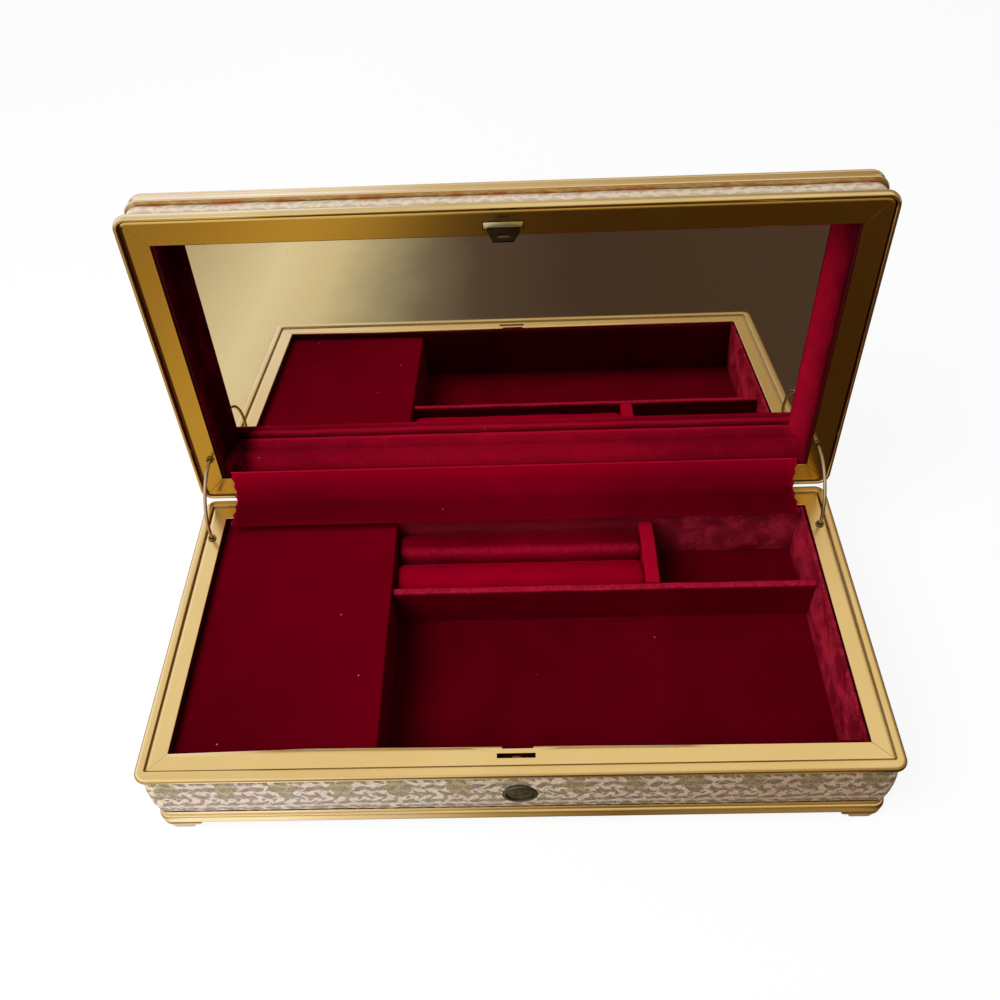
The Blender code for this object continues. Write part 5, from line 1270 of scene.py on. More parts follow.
@dataclass
class CornerFeet:
    """Four stepped corner feet whose ends draw in with an ogee."""

    height: float = 5.9
    out: float = 11.3
    inner: float = 4.5
    waist: float = 1.8
    top_len: float = 16.5
    bottom_len: float = 11.2

    def outer(self, share: Array) -> Array:
        """Offset of the face at a share of the height: a stepped cavetto under the rail."""
        waist = self.out - self.waist
        shares = (0, 0.12, 0.15, 0.2, 0.23, 0.36, 0.40, 0.43, 0.56, 0.60, 0.64, 0.74, 0.84, 0.86, 0.9, 0.96, 1)
        outs = (waist + 0.45, waist + 0.6, waist + 0.45, waist + 0.1, waist, waist, waist + 0.15, waist + 0.5,
                waist + 0.65, waist + 0.85, waist + 1.1, waist + 1.3, self.out - 0.25, self.out - 0.05, self.out,
                self.out, self.out - 0.1)
        return np.interp(share, shares, outs)

    def build(self) -> None:
        """Make the four feet, each a stack of L-shaped outlines from floor to rail."""
        share = np.unique(np.concatenate([np.linspace(0, 1, 27), [0.12, 0.15, 0.2, 0.23, 0.4, 0.43, 0.84, 0.86]]))
        m = self.outer(share)
        radius = np.maximum(0.4, m - BEND)
        length = self.bottom_len + (self.top_len - self.bottom_len) * (0.55 * share ** 0.55 + 0.45 * share ** 3)
        end = self.out - length
        turn = np.radians(np.linspace(90, 0, 11))
        arc_x = (m - radius)[:, None] + radius[:, None] * np.cos(turn)
        arc_y = (m - radius)[:, None] + radius[:, None] * np.sin(turn)
        inner = np.full_like(m, self.inner)
        x = np.column_stack([end, arc_x, m, inner, inner, end])
        y = np.column_stack([m, arc_y, end, end, inner, inner])
        for label, side_y in (("front", -1), ("rear", 1)):
            for side in Side:
                z = np.broadcast_to((share * self.height - FLANGE_H)[:, None], x.shape)
                points = np.stack([side.value * (HALF_W + x), side_y * (HALF_D + y), z], -1) * MM
                foot = skin(f"foot_{label}_{side.name.lower()}_gilt", BOX.place(Shell.BASE, points), sharp=28)
                tidy_mesh(foot)
                stand_in(foot, GILT_FOOT, "base", f"foot_{label}_{side.name.lower()}")
        LOG.info("corner feet: four")


@dataclass
class BrocadeDress:
    """Padded brocade: the bands round base and lid and the crowned panel on the lid.

    A band holds its foot, its top, its offsets there and its bulge, as band_profile takes them.
    """

    base_band: tuple = (-29.2, -3.6, 10.1, 9.2, 1.3)
    lid_band: tuple = (3.6, 12.4, 9.6, 10.3, 0.95)
    band_steps: int = 91
    base_swell: float = 0.14
    lid_swell: float = 0.12
    hole_out: float = 11.5
    hole_r: float = 6.9
    hole_reach: float = 4.0
    band_in: float = 8.3
    panel_edge: float = 2.4
    panel_foot: float = 21.0
    crown: float = 3.0

    def band_profile(self, z0: float, z1: float, out0: float, out1: float, bulge: float) -> list:
        """Flat behind; in front a bulge that leans from one offset to the other and tucks in at both edges.

        Args:
            z0: Height of the foot in millimetres.
            z1: Height of the top.
            out0: Offset of the face at the foot.
            out1: Offset at the top.
            bulge: How far the middle stands out.

        Returns:
            (offset, height) pairs.
        """
        t = np.linspace(0, 1, 19)
        tuck = 0.35 * (np.exp(-t * 26) + np.exp(-(1 - t) * 26))
        front = out0 + (out1 - out0) * t + bulge * np.sin(math.pi * t) ** 0.8 - tuck
        return [(self.band_in, z1), (self.band_in, z0)] + list(zip(front, z0 + (z1 - z0) * t))

    def build(self) -> None:
        """Make the three padded pieces."""
        base = frame_sweep("brocade_base_band", self.band_profile(*self.base_band), Shell.BASE, self.band_steps,
                           self.base_swell, seed=11, sharp=70)
        centre = BOX.base_points(np.array([BUTTON_X, -HALF_D - self.hole_out, BUTTON_H]) * MM)
        r, reach = self.hole_r, self.hole_reach
        cut(base, lathe("bezel_room", [(0, reach), (r, reach), (r, -reach), (0, -reach)], centre, OUTWARD, ACROSS))
        lid = frame_sweep("brocade_lid_band", self.band_profile(*self.lid_band), Shell.LID, self.band_steps,
                          self.lid_swell, seed=12, sharp=70)
        tidy_mesh(lid)
        panel = self.panel()
        for piece, node, finish in ((base, "base_brocade_band", BROCADE_BASE), (lid, "lid_brocade_band", BROCADE_LID),
                                    (panel, "lid_brocade_panel", BROCADE)):
            stand_in(piece, finish, "base" if piece is base else "lid", node)
        LOG.info("brocade: two bands and the lid's panel")

    def panel(self) -> Piece:
        """The lid's padded panel: rings that step in from the frame's lip and rise to the crown.

        The height at distance d from the edge is crown (1 - exp(-d / 7 mm)) with a small ripple.

        Returns:
            The panel, closed.
        """
        inward = np.array([0, 0, 0.25, 0.6, 1.1, 1.8, 2.7, 4, 6, 8.5, 12, 16, 21, 27, 34, 42, 50])
        rise = self.crown * (1 - np.exp(-(inward + 0.8) / 7.0))
        rise[0] = 0
        m = (self.panel_edge - inward) * MM
        loops = rect_loops(-BOX.half_w - m, BOX.half_w + m, -BOX.half_d - m, BOX.half_d + m, corner_radius(m), 6, 61)
        heights = (self.panel_foot + rise[:, None]) * np.ones(loops.shape[:2])
        wave = ripple(loops[..., 0], loops[..., 1], 31, 60 * MM) * 0.10 * np.clip(inward / 6, 0, 1)[:, None]
        points = np.concatenate([loops, ((heights - 0.1 + wave * 0.6)[..., None]) * MM], -1)
        points[0, :, 2] = self.panel_foot * MM
        flat = np.concatenate([loops, loops[:, :1]], 1)
        piece = skin("brocade_lid_panel", BOX.lid_points(points), flat, CLOTH_SHARP)
        tidy_mesh(piece)
        return piece


@dataclass
class VelvetTrays:
    """Velvet on the tray walls, floor, dividers and the platform over the movement."""

    floor_foot: float = 10.8
    floor_top: float = 14.0
    lining_foot: float = 14.3
    wall_top: float = 42.7
    left_top: float = 38.2
    divider_top: float = 38.0
    long_y: float = 19.8
    long_thick: float = 3.1
    short_x: float = 61.0
    short_ends: tuple = (21.8, 56.7)
    short_thick: float = 6.1
    platform_foot: float = 38.5
    platform_top: float = 40.0
    platform_edge: float = -53.5
    lining: float = 1.9
    end_gap: float = 0.35
    relief_half: float = 6.2
    relief_foot: float = -20.1
    pad_step: float = 1.8
    pad_waves: float = 0.06

    def wall(self, name: str, start: tuple, end: tuple, thick: float, z: tuple, seed: int, worn: float, painted_light: float,
             band: float) -> Piece:
        """A velvet-covered card on edge, with a soft rounded top and slight waves.

        A section of rounded corners is carried from start to end; the ripple moves it sideways and its top up and down.

        Args:
            name: Name of the piece.
            start: x and y of one end, in millimetres from the opening's centre.
            end: x and y of the other end.
            thick: Thickness in millimetres.
            z: Heights of foot and top in millimetres.
            seed: Seed of the ripple.
            worn: How far the top edge is rubbed paler, and the foot too above one half.
            painted_light: Painted light and shade on the pile: above zero lighter, below zero darker.
            band: How much lighter a painted highlight band half way up is.

        Returns:
            The wall.
        """
        start_v, end_v = np.array(start, float), np.array(end, float)
        length = np.linalg.norm(end_v - start_v)
        ahead = (end_v - start_v) / length
        side = np.array([-ahead[1], ahead[0]])
        count = max(int(length / 1.6), 8)
        along = np.linspace(0, length, count)
        height = z[1] - z[0]
        section = rounded_section(thick, height, min(thick * 0.48, 0.9), 5)
        extra = np.linspace(0.12, 0.9, 12) * height
        right = np.column_stack([np.full(12, thick / 2), extra])
        left = np.column_stack([np.full(12, -thick / 2), extra[::-1]])
        section = np.concatenate([section[:3], right, section[3:-3], left, section[-3:]])
        share = np.clip(section[:, 1] / height, 0, 1)
        wave = ripple(along[:, None] * MM, section[None, :, 1] * MM, seed, 34 * MM) * 0.05 * share[None]
        lift = ripple(along * MM, 0 * along, seed + 50, 28 * MM)[:, None] * 0.09 * (share > 0.9)[None]
        fuzz = ripple(along[:, None] * MM, section[None, :, 1] * MM, seed + 90, 2.4 * MM) * 0.03
        across = section[None, :, 0] * (1 + fuzz * 0.6) + wave
        plan = start_v + along[:, None, None] * ahead + across[..., None] * side
        up = z[0] + section[None, :, 1] + lift + fuzz * (share > 0.9)
        up = np.minimum(np.maximum(up, z[0]), z[1] + 0.12)
        points = np.concatenate([plan, up[..., None]], -1) * MM
        piece = skin(name, BOX.base_points(points), sharp=CLOTH_SHARP)
        edge = np.clip((section[:, 1] - height + 1.1) / 0.8, 0, 1) * worn
        foot = np.clip((1.1 - section[:, 1]) / 0.7, 0, 1) * max(worn - 0.5, 0)
        mark(piece, "worn", np.broadcast_to(np.maximum(edge, foot), up.shape))
        # Painted light and shade: a lighter band half way up with slow changes, added to the given level, fading out
        # where the top edge is rubbed.
        glow = ripple(along[:, None] * MM, section[None, :, 1] * MM, seed + 20, 18 * MM) * 0.25
        glow = band * (np.exp(-((share[None] - 0.5 + glow * 0.6) / 0.2) ** 2) - 0.5 + glow)
        mark(piece, "painted_light", (painted_light + glow) * (1 - edge))
        mark(piece, "plain", 1 - np.clip((plan[..., 0] - 58) / 4, 0, 1))
        tidy_mesh(piece)
        return piece

    def pad(self, name: str, x: tuple, y: tuple, z: tuple, edge: float, seed: int, painted_light: tuple = (0.0, 0.0)) -> Piece:
        """A velvet-covered board or pad: a flat underside and a top that rolls over at its edges.

        Near an edge at distance d the top falls by r - sqrt(r^2 - (r - d)^2), with r the edge's radius.

        Args:
            name: Name of the piece.
            x: Left and right ends in millimetres.
            y: Front and rear ends.
            z: Underside and top.
            edge: Radius of the rolled edge.
            seed: Seed of the ripple.
            painted_light: Painted light on the pile: how much lighter it is towards the right and towards the rear.

        Returns:
            The pad, closed.
        """
        def stations(low: float, high: float) -> Array:
            """Even stations with extra ones in the rolled edges."""
            roll = edge * (1 - np.cos(np.linspace(0, math.pi / 2, 6)))
            inside = np.linspace(low + edge, high - edge, max(int((high - low) / self.pad_step), 4))
            return np.concatenate([low + roll[:-1], inside, high - roll[:-1][::-1]])

        xs, ys = stations(*x), stations(*y)
        gx, gy = np.meshgrid(xs, ys, indexing="ij")
        near = np.minimum(np.minimum(gx - x[0], x[1] - gx), np.minimum(gy - y[0], y[1] - gy))
        short = np.clip(edge - near, 0, edge)
        top = z[1] - (edge - np.sqrt(np.maximum(edge ** 2 - short ** 2, 0)))
        swell = ripple(gx * MM, gy * MM, seed, 45 * MM) + 0.35 * ripple(gx * MM, gy * MM, seed + 7, 9 * MM)
        top = top + self.pad_waves * swell * np.clip(near / 4, 0, 1)
        upper = np.stack([gx, gy, top], -1)
        rows, columns = gx.shape
        index = np.arange(rows * columns).reshape(rows, columns)
        quads = np.stack([index[:-1, :-1], index[1:, :-1], index[1:, 1:], index[:-1, 1:]], -1).reshape(-1, 4)
        rim = np.concatenate([index[:-1, 0], index[-1, :-1], index[1:, -1][::-1], index[0, 1:][::-1]])
        lower = upper.reshape(-1, 3)[rim].copy()
        lower[:, 2] = z[0]
        base = rows * columns
        count = len(rim)
        step_on = (np.arange(count) + 1) % count
        walls = np.stack([rim, base + np.arange(count), base + step_on, rim[step_on]], -1)
        faces = quads.tolist() + walls.tolist() + [list(range(base + count - 1, base - 1, -1))]
        points = np.concatenate([upper.reshape(-1, 3), lower]) * MM
        piece = mesh_piece(name, BOX.base_points(points), faces, 60)
        across = (points[:, 0] / MM - (x[0] + x[1]) / 2) / (x[1] - x[0]) * 2
        back = (points[:, 1] / MM - (y[0] + y[1]) / 2) / (y[1] - y[0]) * 2
        # Painted light: the pile lighter towards the right and the rear.
        mark(piece, "painted_light", painted_light[0] * across + painted_light[1] * back)
        tidy_mesh(piece)
        return piece

    def build(self) -> None:
        """Make the whole tray."""
        foot, top, low = self.lining_foot, self.wall_top, self.divider_top
        x0, x1, y0, y1 = self.platform_edge, HALF_W, -HALF_D, HALF_D
        line = self.lining
        thin = line - 0.1
        left, right = x0 + self.end_gap, x1 - line - self.end_gap
        # Each wall: start, end, thickness, heights, finish, how far the top is rubbed paler, painted light and shade,
        # and a painted highlight band. The front and left linings get painted shade, the short divider painted light,
        # the rear and right linings painted highlight bands.
        walls = {
            "tray_lining_front": ((left, y0 + line / 2), (right, y0 + line / 2), thin, (foot, top), VELVET_WALL, 0.0,
                                  -0.2, 0.0),
            "tray_lining_rear": ((left, y1 - line / 2), (right, y1 - line / 2), thin, (foot, top), VELVET_CRUSHED, 0.1,
                                 0.0, 0.12),
            "tray_lining_right": ((x1 - line / 2, y0 + 0.1), (x1 - line / 2, y1 - 0.1), thin, (foot, top),
                                  VELVET_CRUSHED, 0.1, 0.0, 0.42),
            "tray_lining_left": ((x0 - line / 2, y0 + 0.1), (x0 - line / 2, y1 - 0.1), thin, (foot, self.left_top),
                                 VELVET_WALL, 0.0, -0.45, 0.0),
            "long_divider": ((left, self.long_y), (right, self.long_y), self.long_thick, (foot, low), VELVET_WALL, 1.0,
                             0.0, 0.0),
            "short_divider": ((self.short_x, self.short_ends[0]), (self.short_x, self.short_ends[1]), self.short_thick,
                              (foot, low), VELVET_SHORT, 0.25, 0.5, 0.0),
        }
        for seed, (node, (start, end, thick, z, finish, worn, painted_light, band)) in enumerate(walls.items(), 40):
            piece = self.wall(node + "_velvet", start, end, thick, z, seed, worn, painted_light, band)
            if node == "tray_lining_front":
                low_x, high_x = LATCH_X - self.relief_half, LATCH_X + self.relief_half
                cut(piece, cutter_box("relief", Shell.BASE, (low_x, y0 - 1, self.relief_foot), (high_x, y0 + 0.7, 1)))
            stand_in(piece, finish, "base", node)
        floor = self.pad("tray_floor_velvet", (x0 - line + 0.05, x1 - 0.05), (y0 + 0.05, y1 - 0.05),
                         (self.floor_foot, self.floor_top - 0.1), edge=0.6, seed=60)
        stand_in(floor, VELVET_TRAY, "base", "tray_floor_pad")
        # The platform's pile gets painted light towards the right and the rear.
        platform = self.pad("music_platform_velvet", (0.1 - x1, x0 - 0.1), (y0 + 0.1, y1 - 0.1),
                            (self.platform_foot, self.platform_top - 0.12), edge=0.55, seed=61, painted_light=(0.10, 0.18))
        stand_in(platform, VELVET_PLATFORM, "base", "music_platform")
        LOG.info("velvet trays: linings, floor, dividers and platform")


@dataclass
class RingRolls:
    """Two soft ring rolls side by side, with the slit for rings between them."""

    x0: float = -52.2
    x1: float = 57.5
    foot: float = 14.3
    height: float = 21.9
    straight: float = 0.56
    spans: tuple = ((21.75, 40.05), (40.75, 56.75))
    # Painted light on the front roll and painted shade on the rear one.
    painted_lights: tuple = (0.2, -0.2)

    def build(self) -> None:
        """Make both rolls: upright sides and a half-round crown carried along X, eased in at their ends.

        Across a roll at angle a the point is (|cos a|^0.86, side + (1 - side) sin a^0.9) of its half depth and height.
        """
        angle = np.linspace(0, math.pi, 33)
        across = -np.sign(np.cos(angle)) * np.abs(np.cos(angle)) ** 0.86
        straight = self.straight
        crown = np.stack([across, straight + (1 - straight) * np.sin(angle) ** 0.9], -1)
        rise = np.linspace(0.06, straight, 6)[:-1]
        left = np.stack([np.full(5, -1.0), rise], -1)
        right = np.stack([np.full(5, 1.0), rise[::-1]], -1)
        foot = np.stack([np.linspace(0.94, -0.94, 7), np.zeros(7)], -1)
        section = np.concatenate([left, crown, right, foot])
        length = self.x1 - self.x0
        ends = np.array([0, 0.25, 0.7, 1.4, 2.4])
        t = np.concatenate([ends, np.linspace(4, length - 4, 76), length - ends[::-1]])
        end = np.minimum(t, length - t)
        ease = 1 - 0.10 * np.exp(-end / 0.9)
        nodes = ("ring_roll_front", "ring_roll_rear")
        for number, (node, (y0, y1), painted_light) in enumerate(zip(nodes, self.spans, self.painted_lights)):
            half = (y1 - y0) / 2
            wave = ripple(t[:, None] * MM, section[None, :, 0] * 9 * MM, 70 + number, 26 * MM)
            dent = ripple(t[:, None] * MM, section[None, :, 0] * 9 * MM, 80 + number, 7 * MM)
            lift = (0.16 * wave + 0.05 * dent) * section[None, :, 1]
            x = np.broadcast_to((self.x0 + t)[:, None], wave.shape)
            y = y0 + half + (half - 0.12) * section[None, :, 0] * ease[:, None]
            z = self.foot + (self.height - 0.35) * section[None, :, 1] * (1 - 0.6 * (1 - ease[:, None])) + lift
            points = np.stack([x, y, z], -1) * MM
            roll = skin(node + "_velvet", BOX.base_points(points), sharp=CLOTH_SHARP)
            # Painted highlights: paler and lighter pile along the rear edge of both rolls and the front shoulder of the
            # rear roll.
            shoulder = np.exp(-((section[:, 0] + 0.6) / 0.2) ** 2) * (section[:, 1] > straight)
            rear = np.exp(-((section[:, 0] - 0.72) / 0.08) ** 2) * (section[:, 1] > straight)
            worn = (0.5 * shoulder + 0.55 * rear) if number else 0.5 * rear
            mark(roll, "worn", np.broadcast_to(worn, wave.shape))
            mark(roll, "painted_light", np.broadcast_to(painted_light + 0.12 * number * shoulder, wave.shape))
            tidy_mesh(roll)
            stand_in(roll, VELVET_ROLL, "base", node)
        LOG.info("ring rolls: two")


@dataclass
class LidInside:
    """The lid's padded velvet lining."""

    foot: float = 1.3
    top: float = 15.3

    def build(self) -> None:
        """Make the lining: each height has its own inset at the sides, the front and the hinge side."""
        foot, top = self.foot, self.top
        h = np.array([foot, 2.2, 3.6, 5.2, 6.6, 7.6, 8.6, 9.0, 9.4, 9.8, 10.2, 11.0, 12.0, 12.8, 13.6, 14.3, 14.9, top])
        side = np.interp(h, (foot, 6.5, 9.5, 12.5, top), (0.75, 0.95, 2.6, 4.6, 5.5))
        rear = np.interp(h, (foot, 3.0, 6.6, 8.6, 9.4, 10.0, 11.0, 12.5, 14.0, top),
                         (6.2, 8.6, 10.0, 10.0, 9.3, 10.6, 12.0, 12.6, 12.3, 10.8))
        low = np.concatenate([[top, foot], h])
        side = np.concatenate([[0, 0], side])
        rear = np.concatenate([[0, 0], rear])
        loops = rect_loops((-HALF_W + side) * MM, (HALF_W - side) * MM, (-HALF_D + side) * MM, (HALF_D - rear) * MM,
                           np.full_like(low, 0.4) * MM, 4, 121)
        wave = ripple(loops[..., 0], loops[..., 1] + low[:, None] * MM, 91, 30 * MM) * 0.16
        wave += ripple(loops[..., 0], loops[..., 1] + low[:, None] * MM, 92, 8 * MM) * 0.05
        free = (np.clip((low - foot) / 4, 0, 1) * np.clip((top - low) / 2, 0, 1))[:, None]
        free[:2] = 0
        away = -loops / np.array([BOX.half_w, BOX.half_d])
        away = np.where(np.abs(away) > np.abs(away[..., ::-1]), np.sign(away), 0)
        loops = loops + away * (wave * free)[..., None] * MM
        points = np.concatenate([loops, np.broadcast_to((low * MM)[:, None, None], (*loops.shape[:2], 1))], -1)
        lining = surface("lid_lining_velvet", BOX.lid_points(points), True, True, sharp=CLOTH_SHARP)
        # Painted light and shade on the pile: the left wall darker; the right wall darker at the front, lighter towards
        # the hinge side and the mirror, and paler; slow light and dark changes along the roll by the hinge, and a
        # painted highlight, lighter and paler, along its crest.
        across = np.clip((loops[..., 0] / BOX.half_w + 0.93) / 0.05, 0, 1)
        down = (loops[..., 1] / BOX.half_d + 1) / 2
        right = np.clip((loops[..., 0] / BOX.half_w - 0.93) / 0.05, 0, 1)
        roll = np.clip((loops[..., 1] / BOX.half_d - 0.72) / 0.04, 0, 1) * (1 - right) * across
        crest = np.exp(-((low - 13.4) / 1.1) ** 2)[:, None] * roll
        painted_light = -0.42 * (1 - across) + right * (-0.28 + 0.4 * down + 0.045 * (low[:, None] - 8.5))
        painted_light = painted_light + roll * (-0.02 + 0.1 * np.cos(loops[..., 0] * 18))
        mark(lining, "painted_light", painted_light + 0.35 * crest)
        mark(lining, "worn", 0.45 * crest + 0.12 * right)
        tidy_mesh(lining)
        stand_in(lining, VELVET_LINING, "lid", "lid_lining")
        LOG.info("lid lining: slope and roll by the hinge")


@dataclass
class HingeStrip:
    """One velvet strip, pinked at both ends, that covers the hinge, made in the open pose."""

    half: float = 130.2
    pitch: float = 5.2
    tooth: float = 1.3
    thick: float = 0.5
    path: tuple = ((52.3, 46.1), (54.2, 45.4), (57.0, 44.95), (60.5, 44.75), (64.0, 44.75), (66.6, 45.0), (68.4, 45.7),
                   (69.6, 46.9), (70.5, 48.6), (71.15, 51.0), (71.6, 54.0), (72.0, 57.4), (72.4, 60.8))

    def build(self) -> None:
        """Make the strip: a smooth path from the base's flange round the knuckles and up the lid's flange.

        Its corners are cut three times at a quarter and three quarters of each step.
        """
        path = np.array(self.path)
        for _ in range(3):
            first = 0.75 * path[:-1] + 0.25 * path[1:]
            second = 0.25 * path[:-1] + 0.75 * path[1:]
            path = np.concatenate([path[:1], np.stack([first, second], 1).reshape(-1, 2), path[-1:]])
        distance = lengths_along(path, False)
        s = np.linspace(0, distance[-1], 91)
        y = np.interp(s, distance, path[:, 0])
        z = np.interp(s, distance, path[:, 1])
        saw = np.abs(((s / self.pitch) % 1) - 0.5) * 2
        reach = self.half - self.tooth * np.sqrt(saw)
        u = np.concatenate([[-1, -0.9965], np.linspace(-0.99, 0.99, 121), [0.9965, 1]])
        x = u[None, :] * reach[:, None]
        sag = ripple(x * MM, s[:, None] * MM, 101, 60 * MM) * 0.10
        free = np.clip(1 - np.abs(s - 9) / 9, 0, 1)[:, None] * 0.8
        y = y[:, None] + 0 * x
        z = z[:, None] + sag * free
        points = BOX.base_points(np.stack([x, y, z], -1) * MM)
        v, uu = np.meshgrid(s * MM, u * self.half * MM, indexing="ij")
        strip = surface("hinge_strip_velvet", points, uv=np.stack([uu, v], -1), sharp=CLOTH_SHARP)
        # Painted light: the strip darker low on the base and lighter as it rises up the lid, and in the middle.
        rise = np.clip((z - 45.0) / 15.8, 0, 1)
        mark(strip, "painted_light", -0.26 + 0.75 * rise ** 0.8 + 0.12 * np.exp(-(x / 70) ** 2))
        hem = np.clip(0.7 - distance[-1] + s, 0, 0.4)[:, None] / 0.4
        mark(strip, "worn", np.maximum(0.6 * hem, 0.5 * np.clip((np.abs(x) - 128.0) / 1.5, 0, 1)))
        solid = strip.modifiers.new("cloth_thickness", "SOLIDIFY")
        solid.thickness = self.thick * MM
        solid.offset = 0.0
        keep_modifiers(strip)
        Library.dress(strip, VELVET_STRIP)
        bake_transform(strip)
        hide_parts("hinge_strip_base", "hinge_strip_lid")
        LOG.info("hinge strip: %.1f by %.1f mm flat", 2 * self.half, distance[-1])


@dataclass
class StayWires:
    """Curved brass stays with ball ends, and the eyelets that they run through."""

    radius: float = 23.2
    wire: float = 0.75
    ball: float = 1.25
    head: float = 1.85
    tube: float = 1.5
    bore: float = 1.05
    pin_rise: float = PIN_H - FLANGE_H
    tail: float = 0.25
    gap: float = 0.3

    def build(self) -> None:
        """Make both stays and the four eyelets."""
        below = math.asin((self.pin_rise + FLANGE_T + self.tail + self.gap + self.ball) / self.radius)
        sweep = (-below, BOX.open_angle + below)
        ends = self.radius * np.abs(np.array(sweep))
        length = ends.sum()
        s = np.unique(np.concatenate([np.linspace(0, length, 60), np.linspace(-self.ball, self.ball, 14) * 0.995,
                                      length + np.linspace(-self.ball, self.ball, 14) * 0.995]))
        angle = sweep[0] + s / self.radius
        near = np.minimum(np.abs(s), np.abs(s - length))
        radii = np.maximum(self.wire * ((s > 0) & (s < length)), np.sqrt(np.maximum(self.ball ** 2 - near ** 2, 0)))
        radii = np.maximum(radii, 0.02)
        drop = self.pin_rise + FLANGE_T / 2
        hole_y = PIN_Y - math.sqrt(self.radius ** 2 - drop ** 2)
        for side in Side:
            x = side.value * (HALF_W + STAY_M)
            y, z = PIN_Y - self.radius * np.cos(angle), PIN_H + self.radius * np.sin(angle)
            path = np.stack([np.full_like(s, x), y, z], -1)
            name = side.name.lower()
            stay = tube(BOX.base_points(path * MM), radii * MM, f"stay_{name}_wire", ACROSS, steps=16)
            stand_in(stay, WIRE_BRASS, f"stay_{name}", f"stay_{name}")
            for shell in Shell:
                self.eyelet(shell, side, x, hole_y)
        LOG.info("stays: two wires, four eyelets")

    def eyelet(self, shell: Shell, side: Side, x: float, y: float) -> None:
        """One eyelet: a rolled head on the flange and a short tube through it.

        Args:
            shell: Base or lid.
            side: Left or right.
            x: Place across, in millimetres from the opening's centre.
            y: Place in depth.
        """
        up = 1 if shell is Shell.BASE else -1
        points = BOX.place(shell, np.array([[x, y, 0.0], [x, y, 1.0], [x + 1.0, y, 0.0]]) * MM)
        axis = (points[1] - points[0]) / MM * up
        across = (points[2] - points[0]) / MM
        outline = [(self.bore, 0.45)] + arc((self.bore + 0.5, 0.42), (0.5, 0.26), (180, 60), 4)
        outline += arc((self.head - 0.25, 0.4), (0.25, 0.2), (60, -60), 4)
        outline += [(self.tube, 0.15), (self.tube, -1.25), (self.bore, -1.25)]
        name = f"stay_eyelet_{shell.value}_{side.name.lower()}"
        eyelet = lathe(name + "_ring", outline, points[0], axis, across, steps=32)
        stand_in(eyelet, EYELET_BRASS, shell.value, name)


@dataclass
class PushLatch:
    """Push button with a pressed relief, its bezel, and the lid's folded catch."""

    bezel_out: float = 11.3
    button_out: float = 11.1
    button_r: float = 5.25
    bar_depth: float = 0.35

    def build(self) -> None:
        """Make the button, bezel and catch."""
        face = BOX.base_points(np.array([BUTTON_X, -HALF_D - self.bezel_out, BUTTON_H]) * MM)
        outline = [(5.55, -0.3)] + arc((5.95, -0.3), (0.38, 0.28), (170, 20), 8)
        outline += arc((6.3, -0.75), (0.36, 0.45), (60, 0), 4) + [(6.66, -2.9), (5.55, -2.9)]
        bezel = lathe("button_bezel", outline, face, OUTWARD, ACROSS, steps=64)
        stand_in(bezel, DARK_BRASS, "base", "latch_bezel")
        self.button()
        catch = bevelled_copy("lid_catch", "lid_catch_plate", 0.3 * MM)
        stand_in(catch, BRASS, "lid", "lid_catch")
        self.darken_tongue(catch)
        Library.dress(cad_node("latch_plate"), PLATE_BRASS)
        Library.dress(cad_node("latch_spring"), STEEL)
        LOG.info("push latch: bezel, button and catch")

    def darken_tongue(self, catch: Piece) -> None:
        """Paint the catch's tongue, all that stands out from the lid's flange, near black: a painted dark reflection.
        """
        mesh = catch.data
        centres = np.empty(len(mesh.polygons) * 3, np.float32)
        mesh.polygons.foreach_get("center", centres)
        origin = BOX.lid_points(np.zeros(3))
        outward = (BOX.lid_points(np.array([0.0, 0.0, -MM])) - origin) / MM
        depth = (centres.reshape(-1, 3) - origin) @ outward
        mesh.materials.append(Library.material(TONGUE_DARK_REFLECTION))
        mesh.polygons.foreach_set("material_index", (depth > self.bar_depth * MM).astype(np.int32))

    def button(self) -> None:
        """The button: a shallow dome with a ring and a raised spray of leaves, its edge and its stem.

        The relief at radius r and angle a is a sum of bumps cos^2 along curved ribs, faded out before the ring.
        """
        face = BOX.base_points(np.array([BUTTON_X, -HALF_D - self.button_out, BUTTON_H]) * MM)
        r = np.concatenate([np.linspace(0.0, self.button_r - 0.3, 30), [self.button_r - 0.12, self.button_r - 0.02,
                                                                       self.button_r]])
        angle = np.linspace(0, 2 * math.pi, 96, endpoint=False)
        rr, aa = np.meshgrid(r, angle, indexing="ij")
        dome = -0.35 * (rr / self.button_r) ** 2
        ring = 0.18 * np.exp(-((rr - 4.2) / 0.28) ** 2)
        rib = np.abs(np.sin(2.5 * (aa + 0.22 * rr))) ** 3
        spray = 0.34 * rib * np.exp(-((rr - 2.6) / 1.5) ** 2)
        height = np.minimum(dome + ring + spray - 0.22, -0.005)
        height[-3:] = np.array([-0.50, -0.58, -0.72])[:, None]
        third = np.cross(OUTWARD, ACROSS)
        spread = np.cos(aa)[..., None] * ACROSS + np.sin(aa)[..., None] * third
        top = face + (height[..., None] * OUTWARD + rr[..., None] * spread) * MM
        stem = [(self.button_r, -2.5), (2.0, -2.5), (2.0, -9.45), (0.0, -9.45)]
        ring_dir = np.cos(angle)[:, None] * ACROSS + np.sin(angle)[:, None] * third
        low = np.stack([face + (h * OUTWARD + radius * ring_dir) * MM for radius, h in stem])
        piece = surface("push_button_cap", np.concatenate([top, low]), False, True, sharp=35)
        tidy_mesh(piece)
        stand_in(piece, DARK_BRASS, "button", "push_button")


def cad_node(name: str) -> Piece:
    """The CAD node's object by name."""
    return FRAME["nodes"][name]


